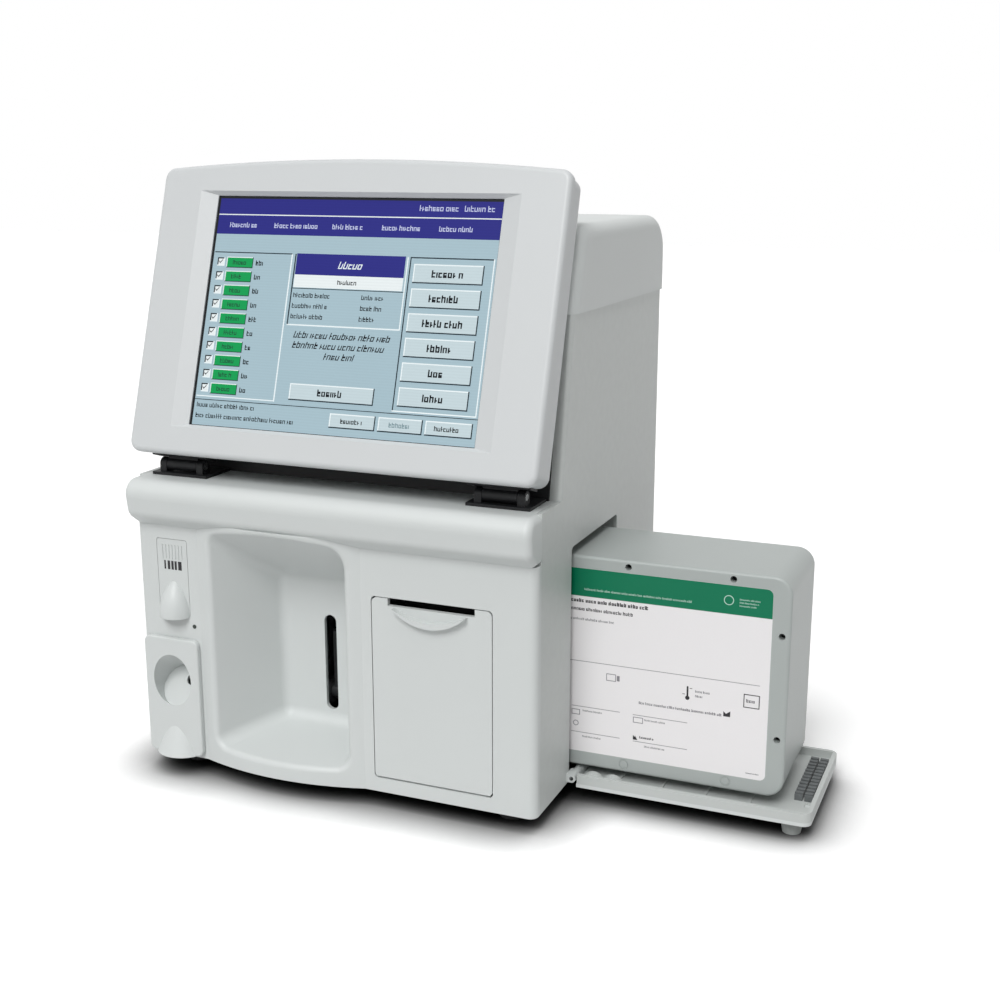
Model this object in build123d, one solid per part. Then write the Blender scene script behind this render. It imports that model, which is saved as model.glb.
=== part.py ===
"""Bench-top coagulation analyzer with a leaning touch display and a side cartridge.

Millimetres. X to the right, Y to the back, Z up. The origin is the middle of the
case's flat underside, and the feet reach below it. The case stands as on the bench:
side door folded down, cartridge most of the way out, display leaning back.
"""

from build123d import *
import os
from math import atan2, cos, degrees, hypot, pi, radians, sin, tan

# Case
CASE_W = 300.0
CASE_D = 265.0
WALL = 3.0
BROW_UNDER = 170.0
BROW_TOP = 203.0
BROW_NOSE = 14.0
CAP_SEAM = 320.5
CAP_TOP = 376.0
CAP_LIP = 1.5
FASCIA_D = 8.0
NECK_SETBACK = 42.5
FRONT_LEAN = 9.9
FLANGE = 16.0
EDGE_R = 6.0
REAR_R = 8.0
SEAM_GAP = 0.3
RUN_GAP = 0.3
SHAFT_GAP = 0.05
FOOT_H = 12.0
FOOT_R = 11.0
FOOT_INSET = 26.0
FOOT_SEAT = 0.5
PAN_T = 1.5
PAN_FLANGE = 14.0

# Sample bay
BAY_FROM_LEFT = 62.0
BAY_FROM_RIGHT = 136.0
BAY_FLOOR = 14.0
BAY_CEILING = 166.0
BAY_DEPTH = 45.0
BAY_LEFT_SLOPE = 0.6222
BAY_FLOOR_SLOPE = 0.2222
BAY_CEILING_SLOPE = 0.8
BAY_CORNER_R = 9.0
BAY_LIP_R = 4.0
BOW = 10.0
BOW_MARGIN = 12.0
SLOT_W = 9.5
SLOT_LOW = 33.0
SLOT_H = 71.0

# Bar code reader
READER_FROM_LEFT = 28.9
READER_W = 24.4
READER_H = 55.4
READER_LOW = 105.0
HOOD_H = 27.0
HOOD_R = 12.0
INDICATOR_FROM_LEFT = 44.3
INDICATOR_Z = 98.8
INDICATOR_R = 1.5

# Ampoule drawer
DRAWER_FROM_LEFT = 25.8
DRAWER_W = 44.5
DRAWER_LOW = 2.0
DRAWER_H = 87.0
DRAWER_PROUD = 3.0
DISH_Z = 57.0
DISH_R = 15.5
DISH_TILT = 35.0
DISH_DEPTH = 14.0
DISH_WALL = 2.0
TIP_HOLE_R = 4.5
CHUTE_R = 20.0
CHUTE_H = 42.0
BIN_W = 34.0
BIN_H = 27.0
BIN_D = 56.0
BIN_WALL = 1.5
RUNNER_T = 1.5

# Sampler
ARM_L = 46.0
ARM_W = 5.5
ARM_T = 8.0
ARM_SETBACK = 9.5
ARM_PIVOT_RISE = 10.0
NEEDLE_R = 0.9
NEEDLE_OUT = 11.0
CHEEK_T = 3.0
SAMPLER_SHAFT_R = 2.0
SAMPLER_MOTOR_R = 9.0
SAMPLER_MOTOR_L = 20.0

# Printer
PRINTER_FROM_RIGHT = 73.2
PRINTER_W = 85.5
PRINTER_LOW = 10.5
PRINTER_H = 127.5
PRINTER_D = 58.0
PRINTER_DOOR_T = 3.5
PRINTER_CORNER_R = 4.0
PRINTER_PIN_R = 1.5
PRINTER_PIN_RISE = 5.1
PRINTER_TAIL_R = 5.5
CHASSIS_T = 1.5
PAPER_W = 57.0
PAPER_SLOT_W = 62.0
PAPER_SLOT_H = 5.0
PAPER_R = 22.0
PAPER_CORE_R = 6.0
LIP_W = 52.0
LIP_DROP = 10.5
LIP_BODY = 4.0
LIP_OUT = 5.0
PLATEN_R = 6.5
PLATEN_SHAFT_R = 2.5
PLATEN_BACK = 24.0
PLATEN_DROP = 20.0
GEAR_MODULE = 0.8
PLATEN_TEETH = 26
PINION_TEETH = 12
GEAR_T = 4.0
PINION_ANGLE = -60.0
STEPPER_R = 8.0
STEPPER_L = 18.0

# Display
DISPLAY_TILT = 18.15
DISPLAY_Y = 27.7
DISPLAY_Z = 317.7
BEZEL_W = 300.0
BEZEL_DOWN = 100.5
BEZEL_UP = 97.5
BEZEL_ARCH = 7.0
BEZEL_T = 7.0
BEZEL_CORNER_R = 8.0
BEZEL_SKIN = 4.0
LCD_W = 211.2
LCD_H = 158.4
BEVEL_SIDE = 12.5
BEVEL_END = 2.5
GLASS_T = 1.5
GLASS_MARGIN = 3.0
MODULE_T = 8.0
MODULE_MARGIN = 10.0
HOUSING_LOW_T = 24.0
HOUSING_TOP_T = 18.5
HOUSING_STEP = 1.2
HOUSING_WALL = 2.5
BOARD_T = 1.6
ARM_REACH = 5.0
ARM_BACK = 24.0
KNUCKLE_R = 4.4
HINGE_PIN_R = 2.5
HINGE_IN = 31.0
HINGE_W = 44.0
KNUCKLE_W = 24.0
EAR_W = 5.0

# Cartridge
CART_L = 210.0
CART_H = 150.0
CART_T = 79.0
CART_OUT = 145.5
CART_SETBACK = 70.0
CART_LOW = 10.5
CART_CORNER_R = 12.0
CART_WALL = 2.5
LID_T = 24.0
LABEL_T = 0.5
LABEL_TOP_MARGIN = 8.5
LABEL_BOTTOM_MARGIN = 10.5
LABEL_END_MARGIN = 12.0
CART_SCREW_R = 2.2
CART_SCREW_PITCH = 70.0
CART_BOSS_R = 3.6
RAIL_T = 2.0
RAIL_LIP = 5.0

# Side opening and door
OPENING_AHEAD = 6.0
OPENING_BEHIND = 13.0
OPENING_ABOVE = 6.5
OPENING_LOW = 2.0
OPENING_R = 4.0
COLLAR_D = 9.0
DOOR_OVERLAP = 5.0
DOOR_SKIN = 2.5
DOOR_RIM_T = 3.0
DOOR_RIM_H = 6.5
DOOR_BARREL_R = 3.0
DOOR_PIN_R = 1.5
DOOR_AXIS_Z = 4.5
DOOR_AXIS_OUT = 3.5
DOOR_BRACKET_W = 10.0
PAD_W = 12.0
PAD_H = 6.0
DOOR_FOOT_R = 8.0

# Pump and drive
PLATE_T = 2.0
DRIVE_SETBACK = 16.0
ROTOR_R = 22.0
ROLLER_R = 5.0
PUMP_SHAFT_R = 3.0
PUMP_MOTOR_R = 18.0
PUMP_MOTOR_L = 34.0
PUMP_X = 30.0

# Electronics
SHELF_T = 1.5
BOARD_L = 190.0
BOARD_W = 120.0
SPACER_H = 8.0
SPACER_R = 3.0
SUPPLY_W = 52.0
SUPPLY_D = 78.0
SUPPLY_H = 96.0
FAN_SIZE = 60.0
FAN_T = 15.0
FAN_HUB_R = 12.0
FAN_BLADES = 7
FAN_X = 62.0
FAN_Z = 240.0
INLET_X = -96.0
INLET_Z = 40.0
INLET_W = 27.0
INLET_H = 19.5
INLET_D = 20.0
ROCKER_W = 12.0
ROCKER_H = 19.0
ROCKER_TILT = 8.0
ROCKER_ABOVE = 26.0
SCREW_HEAD_R = 3.2
SCREW_HEAD_T = 1.8

# Worked out from the sizes above
SIDE = CASE_W / 2
FRONT = -CASE_D / 2
REAR = CASE_D / 2
SKIN_BACK = FRONT + WALL
FASCIA_BACK = FRONT + FASCIA_D
NECK_Y = FRONT + NECK_SETBACK
BAY_LEFT = -SIDE + BAY_FROM_LEFT
BAY_RIGHT = SIDE - BAY_FROM_RIGHT
BAY_BACK = FRONT + BAY_DEPTH
BAY_BACK_LEFT = BAY_LEFT + BAY_DEPTH * BAY_LEFT_SLOPE
SLOT_X = (BAY_BACK_LEFT + BAY_RIGHT) / 2
READER_X = -SIDE + READER_FROM_LEFT
DRAWER_X = -SIDE + DRAWER_FROM_LEFT
PRINTER_X = SIDE - PRINTER_FROM_RIGHT
PRINTER_TOP = PRINTER_LOW + PRINTER_H
PRINTER_BACK = FRONT + PRINTER_D
DOOR_PIN_Y = FRONT + PRINTER_DOOR_T
DOOR_PIN_Z = PRINTER_LOW + PRINTER_PIN_RISE
CART_FRONT = FRONT + CART_SETBACK
CART_BACK = CART_FRONT + CART_T
CART_END = SIDE + CART_OUT
CART_START = CART_END - CART_L
CART_TOP = CART_LOW + CART_H
CART_HOME_START = CART_START - CART_OUT
OPENING_FRONT = CART_FRONT - OPENING_AHEAD
OPENING_REAR = CART_BACK + OPENING_BEHIND
OPENING_TOP = CART_TOP + OPENING_ABOVE
DOOR_AXIS_X = SIDE + DOOR_AXIS_OUT
DOOR_END = DOOR_AXIS_X + OPENING_TOP - DOOR_AXIS_Z
DOOR_FRONT = OPENING_FRONT - DOOR_OVERLAP
DOOR_REAR = OPENING_REAR + DOOR_OVERLAP
DOOR_LOW = DOOR_AXIS_Z - DOOR_BARREL_R - DOOR_SKIN
DOOR_FLOOR = DOOR_LOW + DOOR_SKIN
SHELF_Z = OPENING_TOP + 2 * RAIL_LIP
BOARD_Y = REAR - WALL - BOARD_W / 2 - 6
BOARD_LOW = SHELF_Z + SHELF_T + SPACER_H
DRIVE_Y = CART_BACK + DRIVE_SETBACK
PUMP_Z = CART_LOW + CART_H / 2
PIVOT_Y = BAY_BACK + WALL + ARM_SETBACK
PIVOT_Z = SLOT_LOW + ARM_PIVOT_RISE
CHEEK_GAP = SLOT_W / 2 + 0.2
GEAR_GAP = 0.15
GEAR_SPAN = GEAR_MODULE * (PLATEN_TEETH + PINION_TEETH) / 2 + GEAR_GAP
PLATEN_Y = FRONT + PLATEN_BACK
PLATEN_Z = PRINTER_TOP - PLATEN_DROP
PINION_Y = PLATEN_Y + GEAR_SPAN * cos(radians(PINION_ANGLE))
PINION_Z = PLATEN_Z + GEAR_SPAN * sin(radians(PINION_ANGLE))
FRAME_HALF = PAPER_W / 2 + 5.0
ROLL_Y = FRONT + PRINTER_DOOR_T + PRINTER_D / 2
ROLL_Z = PRINTER_LOW + PAPER_R + 8.0
TILT_SIN = sin(radians(DISPLAY_TILT))
TILT_COS = cos(radians(DISPLAY_TILT))
SCREEN = Plane(
    origin=(0, FRONT + DISPLAY_Y, DISPLAY_Z),
    x_dir=(1, 0, 0),
    z_dir=(0, -TILT_COS, TILT_SIN),
)
HINGE_V = -BEZEL_DOWN - ARM_REACH
HINGE_Y = FRONT + DISPLAY_Y + HINGE_V * TILT_SIN + ARM_BACK * TILT_COS
HINGE_Z = DISPLAY_Z + HINGE_V * TILT_COS - ARM_BACK * TILT_SIN
HINGE_X = min(CASE_W, BEZEL_W) / 2 - HINGE_IN


# Shared forms


def block(x, y, z):
    """A box that spans a (low, high) pair along each axis."""
    spans = (x, y, z)
    middle = [(low + high) / 2 for low, high in spans]
    size = [high - low for low, high in spans]
    return Pos(*middle) * Box(*size)


def rod_x(x, y, z, radius):
    """A round bar along X between a (low, high) pair."""
    return Pos((x[0] + x[1]) / 2, y, z) * Rot(0, 90, 0) * Cylinder(radius, x[1] - x[0])


def rod_y(x, y, z, radius):
    """A round bar along Y between a (low, high) pair."""
    return Pos(x, (y[0] + y[1]) / 2, z) * Rot(90, 0, 0) * Cylinder(radius, y[1] - y[0])


def rod_z(x, y, z, radius):
    """A round bar along Z between a (low, high) pair."""
    return Pos(x, y, (z[0] + z[1]) / 2) * Cylinder(radius, z[1] - z[0])


def along_x(face, x):
    """A (y, z) face stretched along X between a (low, high) pair."""
    return Pos(x[0], 0, 0) * extrude(Plane.YZ * face, x[1] - x[0], dir=(1, 0, 0))


def front_plate(x, y, z, radius):
    """A plate that faces the front, with rounded corners."""
    middle = ((x[0] + x[1]) / 2, y[0], (z[0] + z[1]) / 2)
    plane = Plane(origin=middle, x_dir=(1, 0, 0), z_dir=(0, -1, 0))
    face = plane * RectangleRounded(x[1] - x[0], z[1] - z[0], radius)
    return extrude(face, y[1] - y[0], dir=(0, 1, 0))


def side_plate(x, y, z, radius):
    """A plate that faces the side, with rounded corners."""
    face = Pos((y[0] + y[1]) / 2, (z[0] + z[1]) / 2) * RectangleRounded(
        y[1] - y[0], z[1] - z[0], radius
    )
    return along_x(face, x)


def flat_plate(x, y, z, radius):
    """A level plate with rounded corners."""
    face = RectangleRounded(x[1] - x[0], y[1] - y[0], radius)
    place = Pos((x[0] + x[1]) / 2, (y[0] + y[1]) / 2, z[0])
    return extrude(place * face, z[1] - z[0], dir=(0, 0, 1))


def around(middle, half):
    """The (low, high) pair of a width centred on a place."""
    return (middle - half, middle + half)


def group(solids):
    """Separate solids of one sub-part."""
    return Compound(children=[solid for part in solids for solid in part.solids()])


def one(part):
    """The single solid of a form."""
    return part.solids().sort_by(SortBy.VOLUME)[-1]


def sorted_pair(a, b):
    """Two numbers as a (low, high) pair."""
    return (min(a, b), max(a, b))


def lean_y(z):
    """Front surface of the upper body at a height."""
    return NECK_Y + (z - BROW_TOP) * tan(radians(FRONT_LEAN))


# Case


def brow_face(inset):
    """Section of the brow, a wall thickness inside when inset."""
    back = FASCIA_BACK + 2 * inset
    nose = FRONT - BROW_NOSE
    corners = [
        (back, BROW_UNDER),
        (FRONT, BROW_UNDER),
        (FRONT - 0.75 * BROW_NOSE, BROW_UNDER + 8),
        (nose, BROW_TOP),
        (back, BROW_TOP),
    ]
    face = make_face(Polyline(*corners, close=True))
    nose_tip = face.vertices().sort_by(Axis.X)[0]
    face = fillet(nose_tip, 11)
    chin = [v for v in face.vertices() if abs(v.Y - BROW_UNDER - 8) < 0.01]
    face = fillet(chin, 8)
    return offset(face, amount=-inset) if inset else face


def bow_form(inset):
    """The part of the front that bows forward past the bay."""
    ends = (BAY_LEFT - BOW_MARGIN, BAY_RIGHT + BOW_MARGIN)
    front = FRONT + inset
    arc = ThreePointArc(
        (ends[0], front), (sum(ends) / 2, front - BOW), (ends[1], front)
    )
    back = Polyline((ends[1], front), (ends[1], front + 1), (ends[0], front + 1), (ends[0], front))
    plan = make_face([arc, *back.edges()])
    height = BROW_UNDER + 6 - 2 * inset
    return Pos(0, 0, inset) * extrude(plan, height, dir=(0, 0, 1))


def fascia_form(inset):
    """The front moulding without its openings, solid."""
    half = SIDE - inset
    brow = along_x(brow_face(inset), (-half, half))
    lower = block(
        (-half, half), (FRONT + inset, FASCIA_BACK + inset), (inset, BROW_UNDER + 2 * inset)
    )
    if not inset:
        ends = brow.faces().sort_by(Axis.X)
        rims = [e for f in (ends[0], ends[-1]) for e in f.edges()]
        brow = fillet([e for e in rims if e.center().Y < FASCIA_BACK - 0.5], EDGE_R - 1)
        corners = lower.edges().filter_by(Axis.Z).group_by(Axis.Y)[0]
        lower = fillet(corners, EDGE_R)
    return brow + lower + bow_form(inset)


def bay_section(y, grow):
    """Outline of the bay at a depth, drawn larger by a wall when grown."""
    deep = y - FRONT
    left = BAY_LEFT + deep * BAY_LEFT_SLOPE - grow
    right = BAY_RIGHT + grow
    floor = BAY_FLOOR + deep * BAY_FLOOR_SLOPE - grow
    ceiling = BAY_CEILING - deep * BAY_CEILING_SLOPE + grow
    middle = ((left + right) / 2, y, (floor + ceiling) / 2)
    plane = Plane(origin=middle, x_dir=(1, 0, 0), z_dir=(0, -1, 0))
    return plane * Rectangle(right - left, ceiling - floor)


def bay_form(grow):
    """The hollow of the bay, tapering to its back wall."""
    mouth = FRONT - BROW_NOSE - 2
    back = BAY_BACK + grow
    form = loft([bay_section(mouth, grow), bay_section(back, grow)], ruled=True)
    inner = form.edges().filter_by(lambda e: e.center().Y > mouth + 1)
    return fillet(inner, BAY_CORNER_R + grow)


def sampler_slot():
    """The slot in the bay's back wall."""
    middle = (SLOT_X, BAY_BACK - 1, SLOT_LOW + SLOT_H / 2)
    plane = Plane(origin=middle, x_dir=(0, 0, 1), z_dir=(0, -1, 0))
    return extrude(plane * SlotOverall(SLOT_H, SLOT_W), WALL + 2, dir=(0, 1, 0))


def fascia_openings():
    """Cuts for the reader, the indicator, the drawer and the printer door."""
    gap = SEAM_GAP
    through = (FRONT - 1, FASCIA_BACK)
    reader = front_plate(
        around(READER_X, READER_W / 2 + gap),
        through,
        (READER_LOW - gap, READER_LOW + READER_H + gap),
        2.0,
    )
    lens = rod_y(-SIDE + INDICATOR_FROM_LEFT, through, INDICATOR_Z, INDICATOR_R)
    drawer = front_plate(
        around(DRAWER_X, BIN_W / 2 + 2 * gap),
        through,
        (DRAWER_LOW + gap, DISH_Z + DISH_R + DISH_WALL + 4),
        2.0,
    )
    door = front_plate(
        around(PRINTER_X, PRINTER_W / 2 + 2 * gap),
        through,
        (PRINTER_LOW - 2 * gap, PRINTER_TOP + 2 * gap),
        PRINTER_CORNER_R - 1,
    )
    return reader + lens + drawer + door


def round_mouth(fascia):
    """Soften the rim where the bay meets the front."""
    rim = [
        e
        for e in fascia.edges()
        if BAY_LEFT - BAY_CORNER_R < e.center().X < BAY_RIGHT + 2
        and FRONT - BROW_NOSE < e.center().Y < FRONT + 0.5
        and on_bay_wall(e)
    ]
    return fillet(rim, BAY_LIP_R)


def on_bay_wall(edge):
    """Does the edge lie on a wall of the bay at the front?"""
    where = edge.center()
    deep = where.Y - FRONT
    off_left = abs(where.X - BAY_LEFT - deep * BAY_LEFT_SLOPE)
    off_floor = abs(where.Z - BAY_FLOOR - deep * BAY_FLOOR_SLOPE)
    off_ceiling = abs(where.Z - BAY_CEILING + deep * BAY_CEILING_SLOPE)
    return min(off_left, off_floor, off_ceiling) < 1.5


def front_fascia():
    """The front moulding: rounded brow, bowed sill and lip, and the sample bay."""
    outer = fascia_form(0)
    skin = outer - fascia_form(WALL)
    behind = block((-SIDE, SIDE), (FRONT + 1, BAY_BACK + 2 * WALL), (0, BROW_UNDER))
    pod = bay_form(WALL) & (outer + behind)
    fascia = one(skin + pod - bay_form(0))
    fascia = round_mouth(fascia)
    half = SIDE - WALL - SEAM_GAP
    shelf = block(
        (-half, half), (FASCIA_BACK - 1, NECK_Y - SEAM_GAP), (BROW_TOP - WALL, BROW_TOP)
    )
    return one(fascia + shelf - sampler_slot() - fascia_openings() - printer_rod_forms())


def body_form(inset):
    """The body behind the front moulding, solid, open all round when inset."""
    foot = lean_y(BROW_TOP) + inset
    head = lean_y(CAP_SEAM) + inset
    points = [
        (FASCIA_BACK - inset, -inset),
        (REAR - inset, -inset),
        (REAR - inset, CAP_SEAM + inset),
        (head, CAP_SEAM + inset),
        (foot, BROW_TOP - inset),
        (FASCIA_BACK - inset, BROW_TOP - inset),
    ]
    form = along_x(make_face(Polyline(*points, close=True)), around(0, SIDE - inset))
    if inset:
        return form
    corners = form.edges().filter_by(Axis.Z).group_by(Axis.Y)[-1]
    form = fillet(corners, REAR_R)
    leaning = [
        e
        for e in form.edges()
        if e.center().Z > BROW_TOP + 5 and FASCIA_BACK < e.center().Y < lean_y(CAP_SEAM) - 1
        and abs(e.center().X) > SIDE - 1
    ]
    return fillet(leaning, EDGE_R / 2)


def body_skin():
    """The thin-walled body that the covers are cut from."""
    return body_form(0) - body_form(WALL)


def left_shell():
    """Left side cover with its front and rear returns."""
    cover = body_skin() & block((-SIDE, -SIDE + FLANGE), (FASCIA_BACK, REAR), (0, CAP_SEAM))
    return one(cover - brow_relief())


def brow_relief():
    """Room for the shelf of the brow between the side covers."""
    half = SIDE - WALL
    return block((-half, half), (FASCIA_BACK - 1, NECK_Y), (BROW_TOP - WALL - 1, BROW_TOP + 1))


def right_shell():
    """Right side cover with the cartridge opening and its collar."""
    cover = body_skin() & block((SIDE - FLANGE, SIDE), (FASCIA_BACK, REAR), (0, CAP_SEAM))
    height = (OPENING_LOW, OPENING_TOP)
    span = (OPENING_FRONT, OPENING_REAR)
    collar = side_plate(
        (SIDE - WALL - COLLAR_D, SIDE - WALL + 0.5),
        (span[0] - RAIL_T, span[1] + RAIL_T),
        (OPENING_LOW, OPENING_TOP + RAIL_T),
        OPENING_R + RAIL_T,
    )
    hole = side_plate((SIDE - FLANGE - 1, SIDE + 1), span, height, OPENING_R)
    floor = block((SIDE - FLANGE, SIDE - WALL), span, (0, OPENING_LOW + OPENING_R))
    return one(cover - brow_relief() + collar - hole - floor)


def upper_front_panel():
    """Leaning cover behind the display."""
    half = SIDE - FLANGE - SEAM_GAP
    room = block((-half, half), (NECK_Y - 1, lean_y(CAP_SEAM) + WALL), (BROW_TOP, CAP_SEAM))
    return one(body_skin() & room)


def neck_cover():
    """Black cover at the foot of the leaning panel, under the display."""
    low, high = BROW_TOP, BROW_TOP + 38
    thick = 2.0
    points = [
        (lean_y(low) - thick, low),
        (lean_y(low), low),
        (lean_y(high), high),
        (lean_y(high) - thick, high),
    ]
    return one(along_x(make_face(Polyline(*points, close=True)), around(0, SIDE - 8)))


def vent_slots(x, z, count, pitch, length):
    """A row of upright slots through the rear panel."""
    cuts = [
        front_plate(around(x + i * pitch, 1.5), (REAR - 2 * WALL, REAR + 1), (z, z + length), 1.4)
        for i in range(count)
    ]
    return Part() + cuts


def fan_grille():
    """Slots over the fan, cut shorter towards its edge."""
    rows = 7
    pitch = FAN_SIZE / (rows + 1)
    cuts = []
    for i in range(rows):
        rise = (i - (rows - 1) / 2) * pitch
        half = (FAN_SIZE / 2 - 3) * cos(rise / (FAN_SIZE / 2) * pi / 2.6)
        cuts.append(
            front_plate(
                around(FAN_X, half), (REAR - 2 * WALL, REAR + 1), around(FAN_Z + rise, 2.0), 1.9
            )
        )
    return Part() + cuts


def rear_panel():
    """Rear cover with louvres, fan grille and connector cut-outs."""
    half = SIDE - FLANGE - SEAM_GAP
    panel = body_skin() & block((-half, half), (REAR - WALL, REAR), (0, CAP_SEAM))
    inlet = block(
        around(INLET_X, INLET_W / 2 + SEAM_GAP),
        (REAR - 2 * WALL, REAR + 1),
        (INLET_Z - INLET_H / 2 - SEAM_GAP, INLET_Z + ROCKER_ABOVE + ROCKER_H / 2 + 2),
    )
    ports = block(around(0, BOARD_L / 4), (REAR - 2 * WALL, REAR + 1), port_band(1.0))
    louvres = vent_slots(-SIDE + 40, FAN_Z - 25, 9, 7, 50) + vent_slots(0, 40, 9, 7, 60)
    return one(panel - inlet - ports - louvres - fan_grille())


def cap_face(inset):
    """Section of the top cap, a wall thickness inside when inset."""
    low = CAP_SEAM - 2 * inset
    rise = CAP_TOP - CAP_SEAM
    front = lean_y(CAP_SEAM) - CAP_LIP
    points = [
        (front, low),
        (front, CAP_SEAM),
        (front + rise * tan(radians(DISPLAY_TILT)), CAP_TOP),
        (REAR + CAP_LIP, CAP_TOP),
        (REAR + CAP_LIP, low),
    ]
    if not inset:
        points.pop(0)
    face = make_face(Polyline(*points, close=True))
    top = face.vertices().group_by(Axis.Y)[-1].sort_by(Axis.X)
    face = fillet(top[0], 14)
    face = fillet(face.vertices().sort_by(Axis.Y)[-2:].sort_by(Axis.X)[-1], 28)
    return offset(face, amount=-inset) if inset else face


def cap_form(inset):
    """The cap as a solid."""
    half = SIDE + CAP_LIP - inset
    form = along_x(cap_face(inset), (-half, half))
    if inset:
        return form
    rims = [
        e
        for f in (form.faces().sort_by(Axis.X)[0], form.faces().sort_by(Axis.X)[-1])
        for e in f.edges()
    ]
    return fillet([e for e in rims if e.center().Z > CAP_SEAM + 1], 9)


def top_cap():
    """Rounded top cap that rests on the covers."""
    return one(cap_form(0) - cap_form(WALL))


def base_pan():
    """Folded metal pan that closes the underside."""
    half = SIDE - WALL - SEAM_GAP
    depth = (FASCIA_BACK + WALL, REAR - WALL - SEAM_GAP)
    pan = block((-half, half), depth, (0, PAN_T))
    rear = block((-half, half), (depth[1] - PAN_T, depth[1]), (0, PAN_FLANGE))
    left = block((-half, -half + PAN_T), depth, (0, PAN_FLANGE))
    slots = [
        flat_plate(around(-SIDE / 2, 20), around(REAR / 3 + i * 9, 2), (-1, PAN_T + 1), 1.9)
        for i in range(5)
    ]
    seats = [rod_z(x, y, (-1, FOOT_SEAT), FOOT_R + 1) for x, y in foot_spots()]
    return one(pan + rear + left - seats - slots)


def foot_spots():
    """Places of the feet, as (x, y) pairs."""
    xs = (-SIDE + FOOT_INSET, SIDE - FOOT_INSET)
    ys = (FRONT + FOOT_INSET, REAR - FOOT_INSET)
    return [(x, y) for x in xs for y in ys]


def feet():
    """Four rubber feet, seated in shallow recesses of the pan."""
    height = FOOT_H + FOOT_SEAT
    foot = Pos(0, 0, FOOT_SEAT - height / 2) * Cone(FOOT_R - 2, FOOT_R, height)
    return group([Pos(x, y, 0) * foot for x, y in foot_spots()])


def case_screws():
    """Pan-head screws that hold the rear panel and the base pan."""
    xs = (-SIDE + FLANGE + 6, SIDE - FLANGE - 6)
    zs = (12, CAP_SEAM / 2, CAP_SEAM - 12)
    heads = [
        rod_y(x, (REAR, REAR + SCREW_HEAD_T), z, SCREW_HEAD_R) for x in xs for z in zs
    ]
    slots = [
        block(around(x, 2.2), (REAR + 1, REAR + 2), around(z, 0.5)) for x in xs for z in zs
    ]
    return group([head - slot for head, slot in zip(heads, slots)])


# Bar code reader


def hood_form(shrink, back):
    """Bullet form of the reader's hood, flat below, cut off at a depth."""
    radius, height = HOOD_R - shrink, HOOD_H - shrink
    flank = ThreePointArc((radius, 0), (0.78 * radius, 0.55 * height), (0, height))
    rest = Polyline((0, height), (0, 0), (radius, 0))
    bullet = revolve(Plane.XZ * make_face([flank, *rest.edges()]), Axis.Z)
    ahead = block(around(READER_X, READER_W), (FRONT - 2 * HOOD_R, back), (0, CAP_SEAM))
    return Pos(READER_X, FRONT + 2, READER_LOW) * bullet & ahead


def reader_cover():
    """Ribbed cover of the bar code reader, with the hood that shades its window."""
    face = front_plate(
        around(READER_X, READER_W / 2),
        (FRONT, SKIN_BACK),
        (READER_LOW, READER_LOW + READER_H),
        1.8,
    )
    flange = front_plate(
        around(READER_X, READER_W / 2 + 3),
        (SKIN_BACK, SKIN_BACK + 1.5),
        (READER_LOW - 3, READER_LOW + READER_H + 3),
        2.0,
    )
    ribs = [
        block(
            around(READER_X + (i - 3) * 2.6, 0.4),
            (FRONT - 0.5, FRONT),
            (READER_LOW + READER_H - 14, READER_LOW + READER_H - 4),
        )
        for i in range(7)
    ]
    return one(face + flange + hood_form(0, FRONT) + ribs - hood_form(2.0, SKIN_BACK))


def reader_window():
    """Dark window that looks down from inside the hood."""
    level = READER_LOW + 3
    pane = block(around(READER_X, HOOD_R), (FRONT - HOOD_R, SKIN_BACK), (level, level + 1.2))
    return one(pane & hood_form(2.0, SKIN_BACK))


def indicator_lens():
    """Small indicator under the reader."""
    x = -SIDE + INDICATOR_FROM_LEFT
    stem = rod_y(x, (FRONT - 0.3, SKIN_BACK), INDICATOR_Z, INDICATOR_R)
    collar = rod_y(x, (SKIN_BACK, SKIN_BACK + 2), INDICATOR_Z, INDICATOR_R + 1)
    return one(stem + collar)


# Ampoule drawer


def dish_form(radius, depth):
    """A round well that enters the drawer front leaning down."""
    start = Pos(DRAWER_X, FRONT - DRAWER_PROUD, DISH_Z)
    well = Pos(0, 0, -depth / 2 + 10) * Cylinder(radius, depth + 20)
    return start * Rot(90 - DISH_TILT, 0, 0) * well


def tip_hole():
    """Hole in the floor of the well, for the tip of an ampoule."""
    start = Pos(DRAWER_X, FRONT - DRAWER_PROUD, DISH_Z)
    return start * Rot(90 - DISH_TILT, 0, 0) * Pos(6, 6, -DISH_DEPTH) * Cylinder(TIP_HOLE_R, 14)


def chute_form():
    """Flare under the well, widening to the foot of the drawer front."""
    cone = Cone(CHUTE_R, 4.0, CHUTE_H)
    return Pos(DRAWER_X, FRONT + CHUTE_R - 12, DRAWER_LOW + CHUTE_H / 2) * cone


def ampoule_drawer_front():
    """Front of the ampoule drawer with its well, hole and flare."""
    back = FRONT - RUN_GAP
    plate = front_plate(
        around(DRAWER_X, DRAWER_W / 2),
        (FRONT - DRAWER_PROUD - 1, back),
        (DRAWER_LOW, DRAWER_LOW + DRAWER_H),
        5.0,
    )
    rim = plate.faces().sort_by(Axis.Y)[0].edges()
    plate = fillet(rim, 1.2)
    ahead = block(around(DRAWER_X, DRAWER_W / 2), (FRONT - 20, back), (0, DISH_Z))
    half = BIN_W / 2
    tongue = block(around(DRAWER_X, half), (back, SKIN_BACK + 2), (DRAWER_LOW + 1, DRAWER_LOW + BIN_H))
    boss = dish_form(DISH_R + DISH_WALL, DISH_DEPTH + DISH_WALL)
    boss = boss & block(around(DRAWER_X, DRAWER_W), (back - 1, FRONT + 60), (0, CAP_SEAM))
    front = plate + (chute_form() & ahead) + tongue + boss
    return one(front - dish_form(DISH_R, DISH_DEPTH) - tip_hole())


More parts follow.
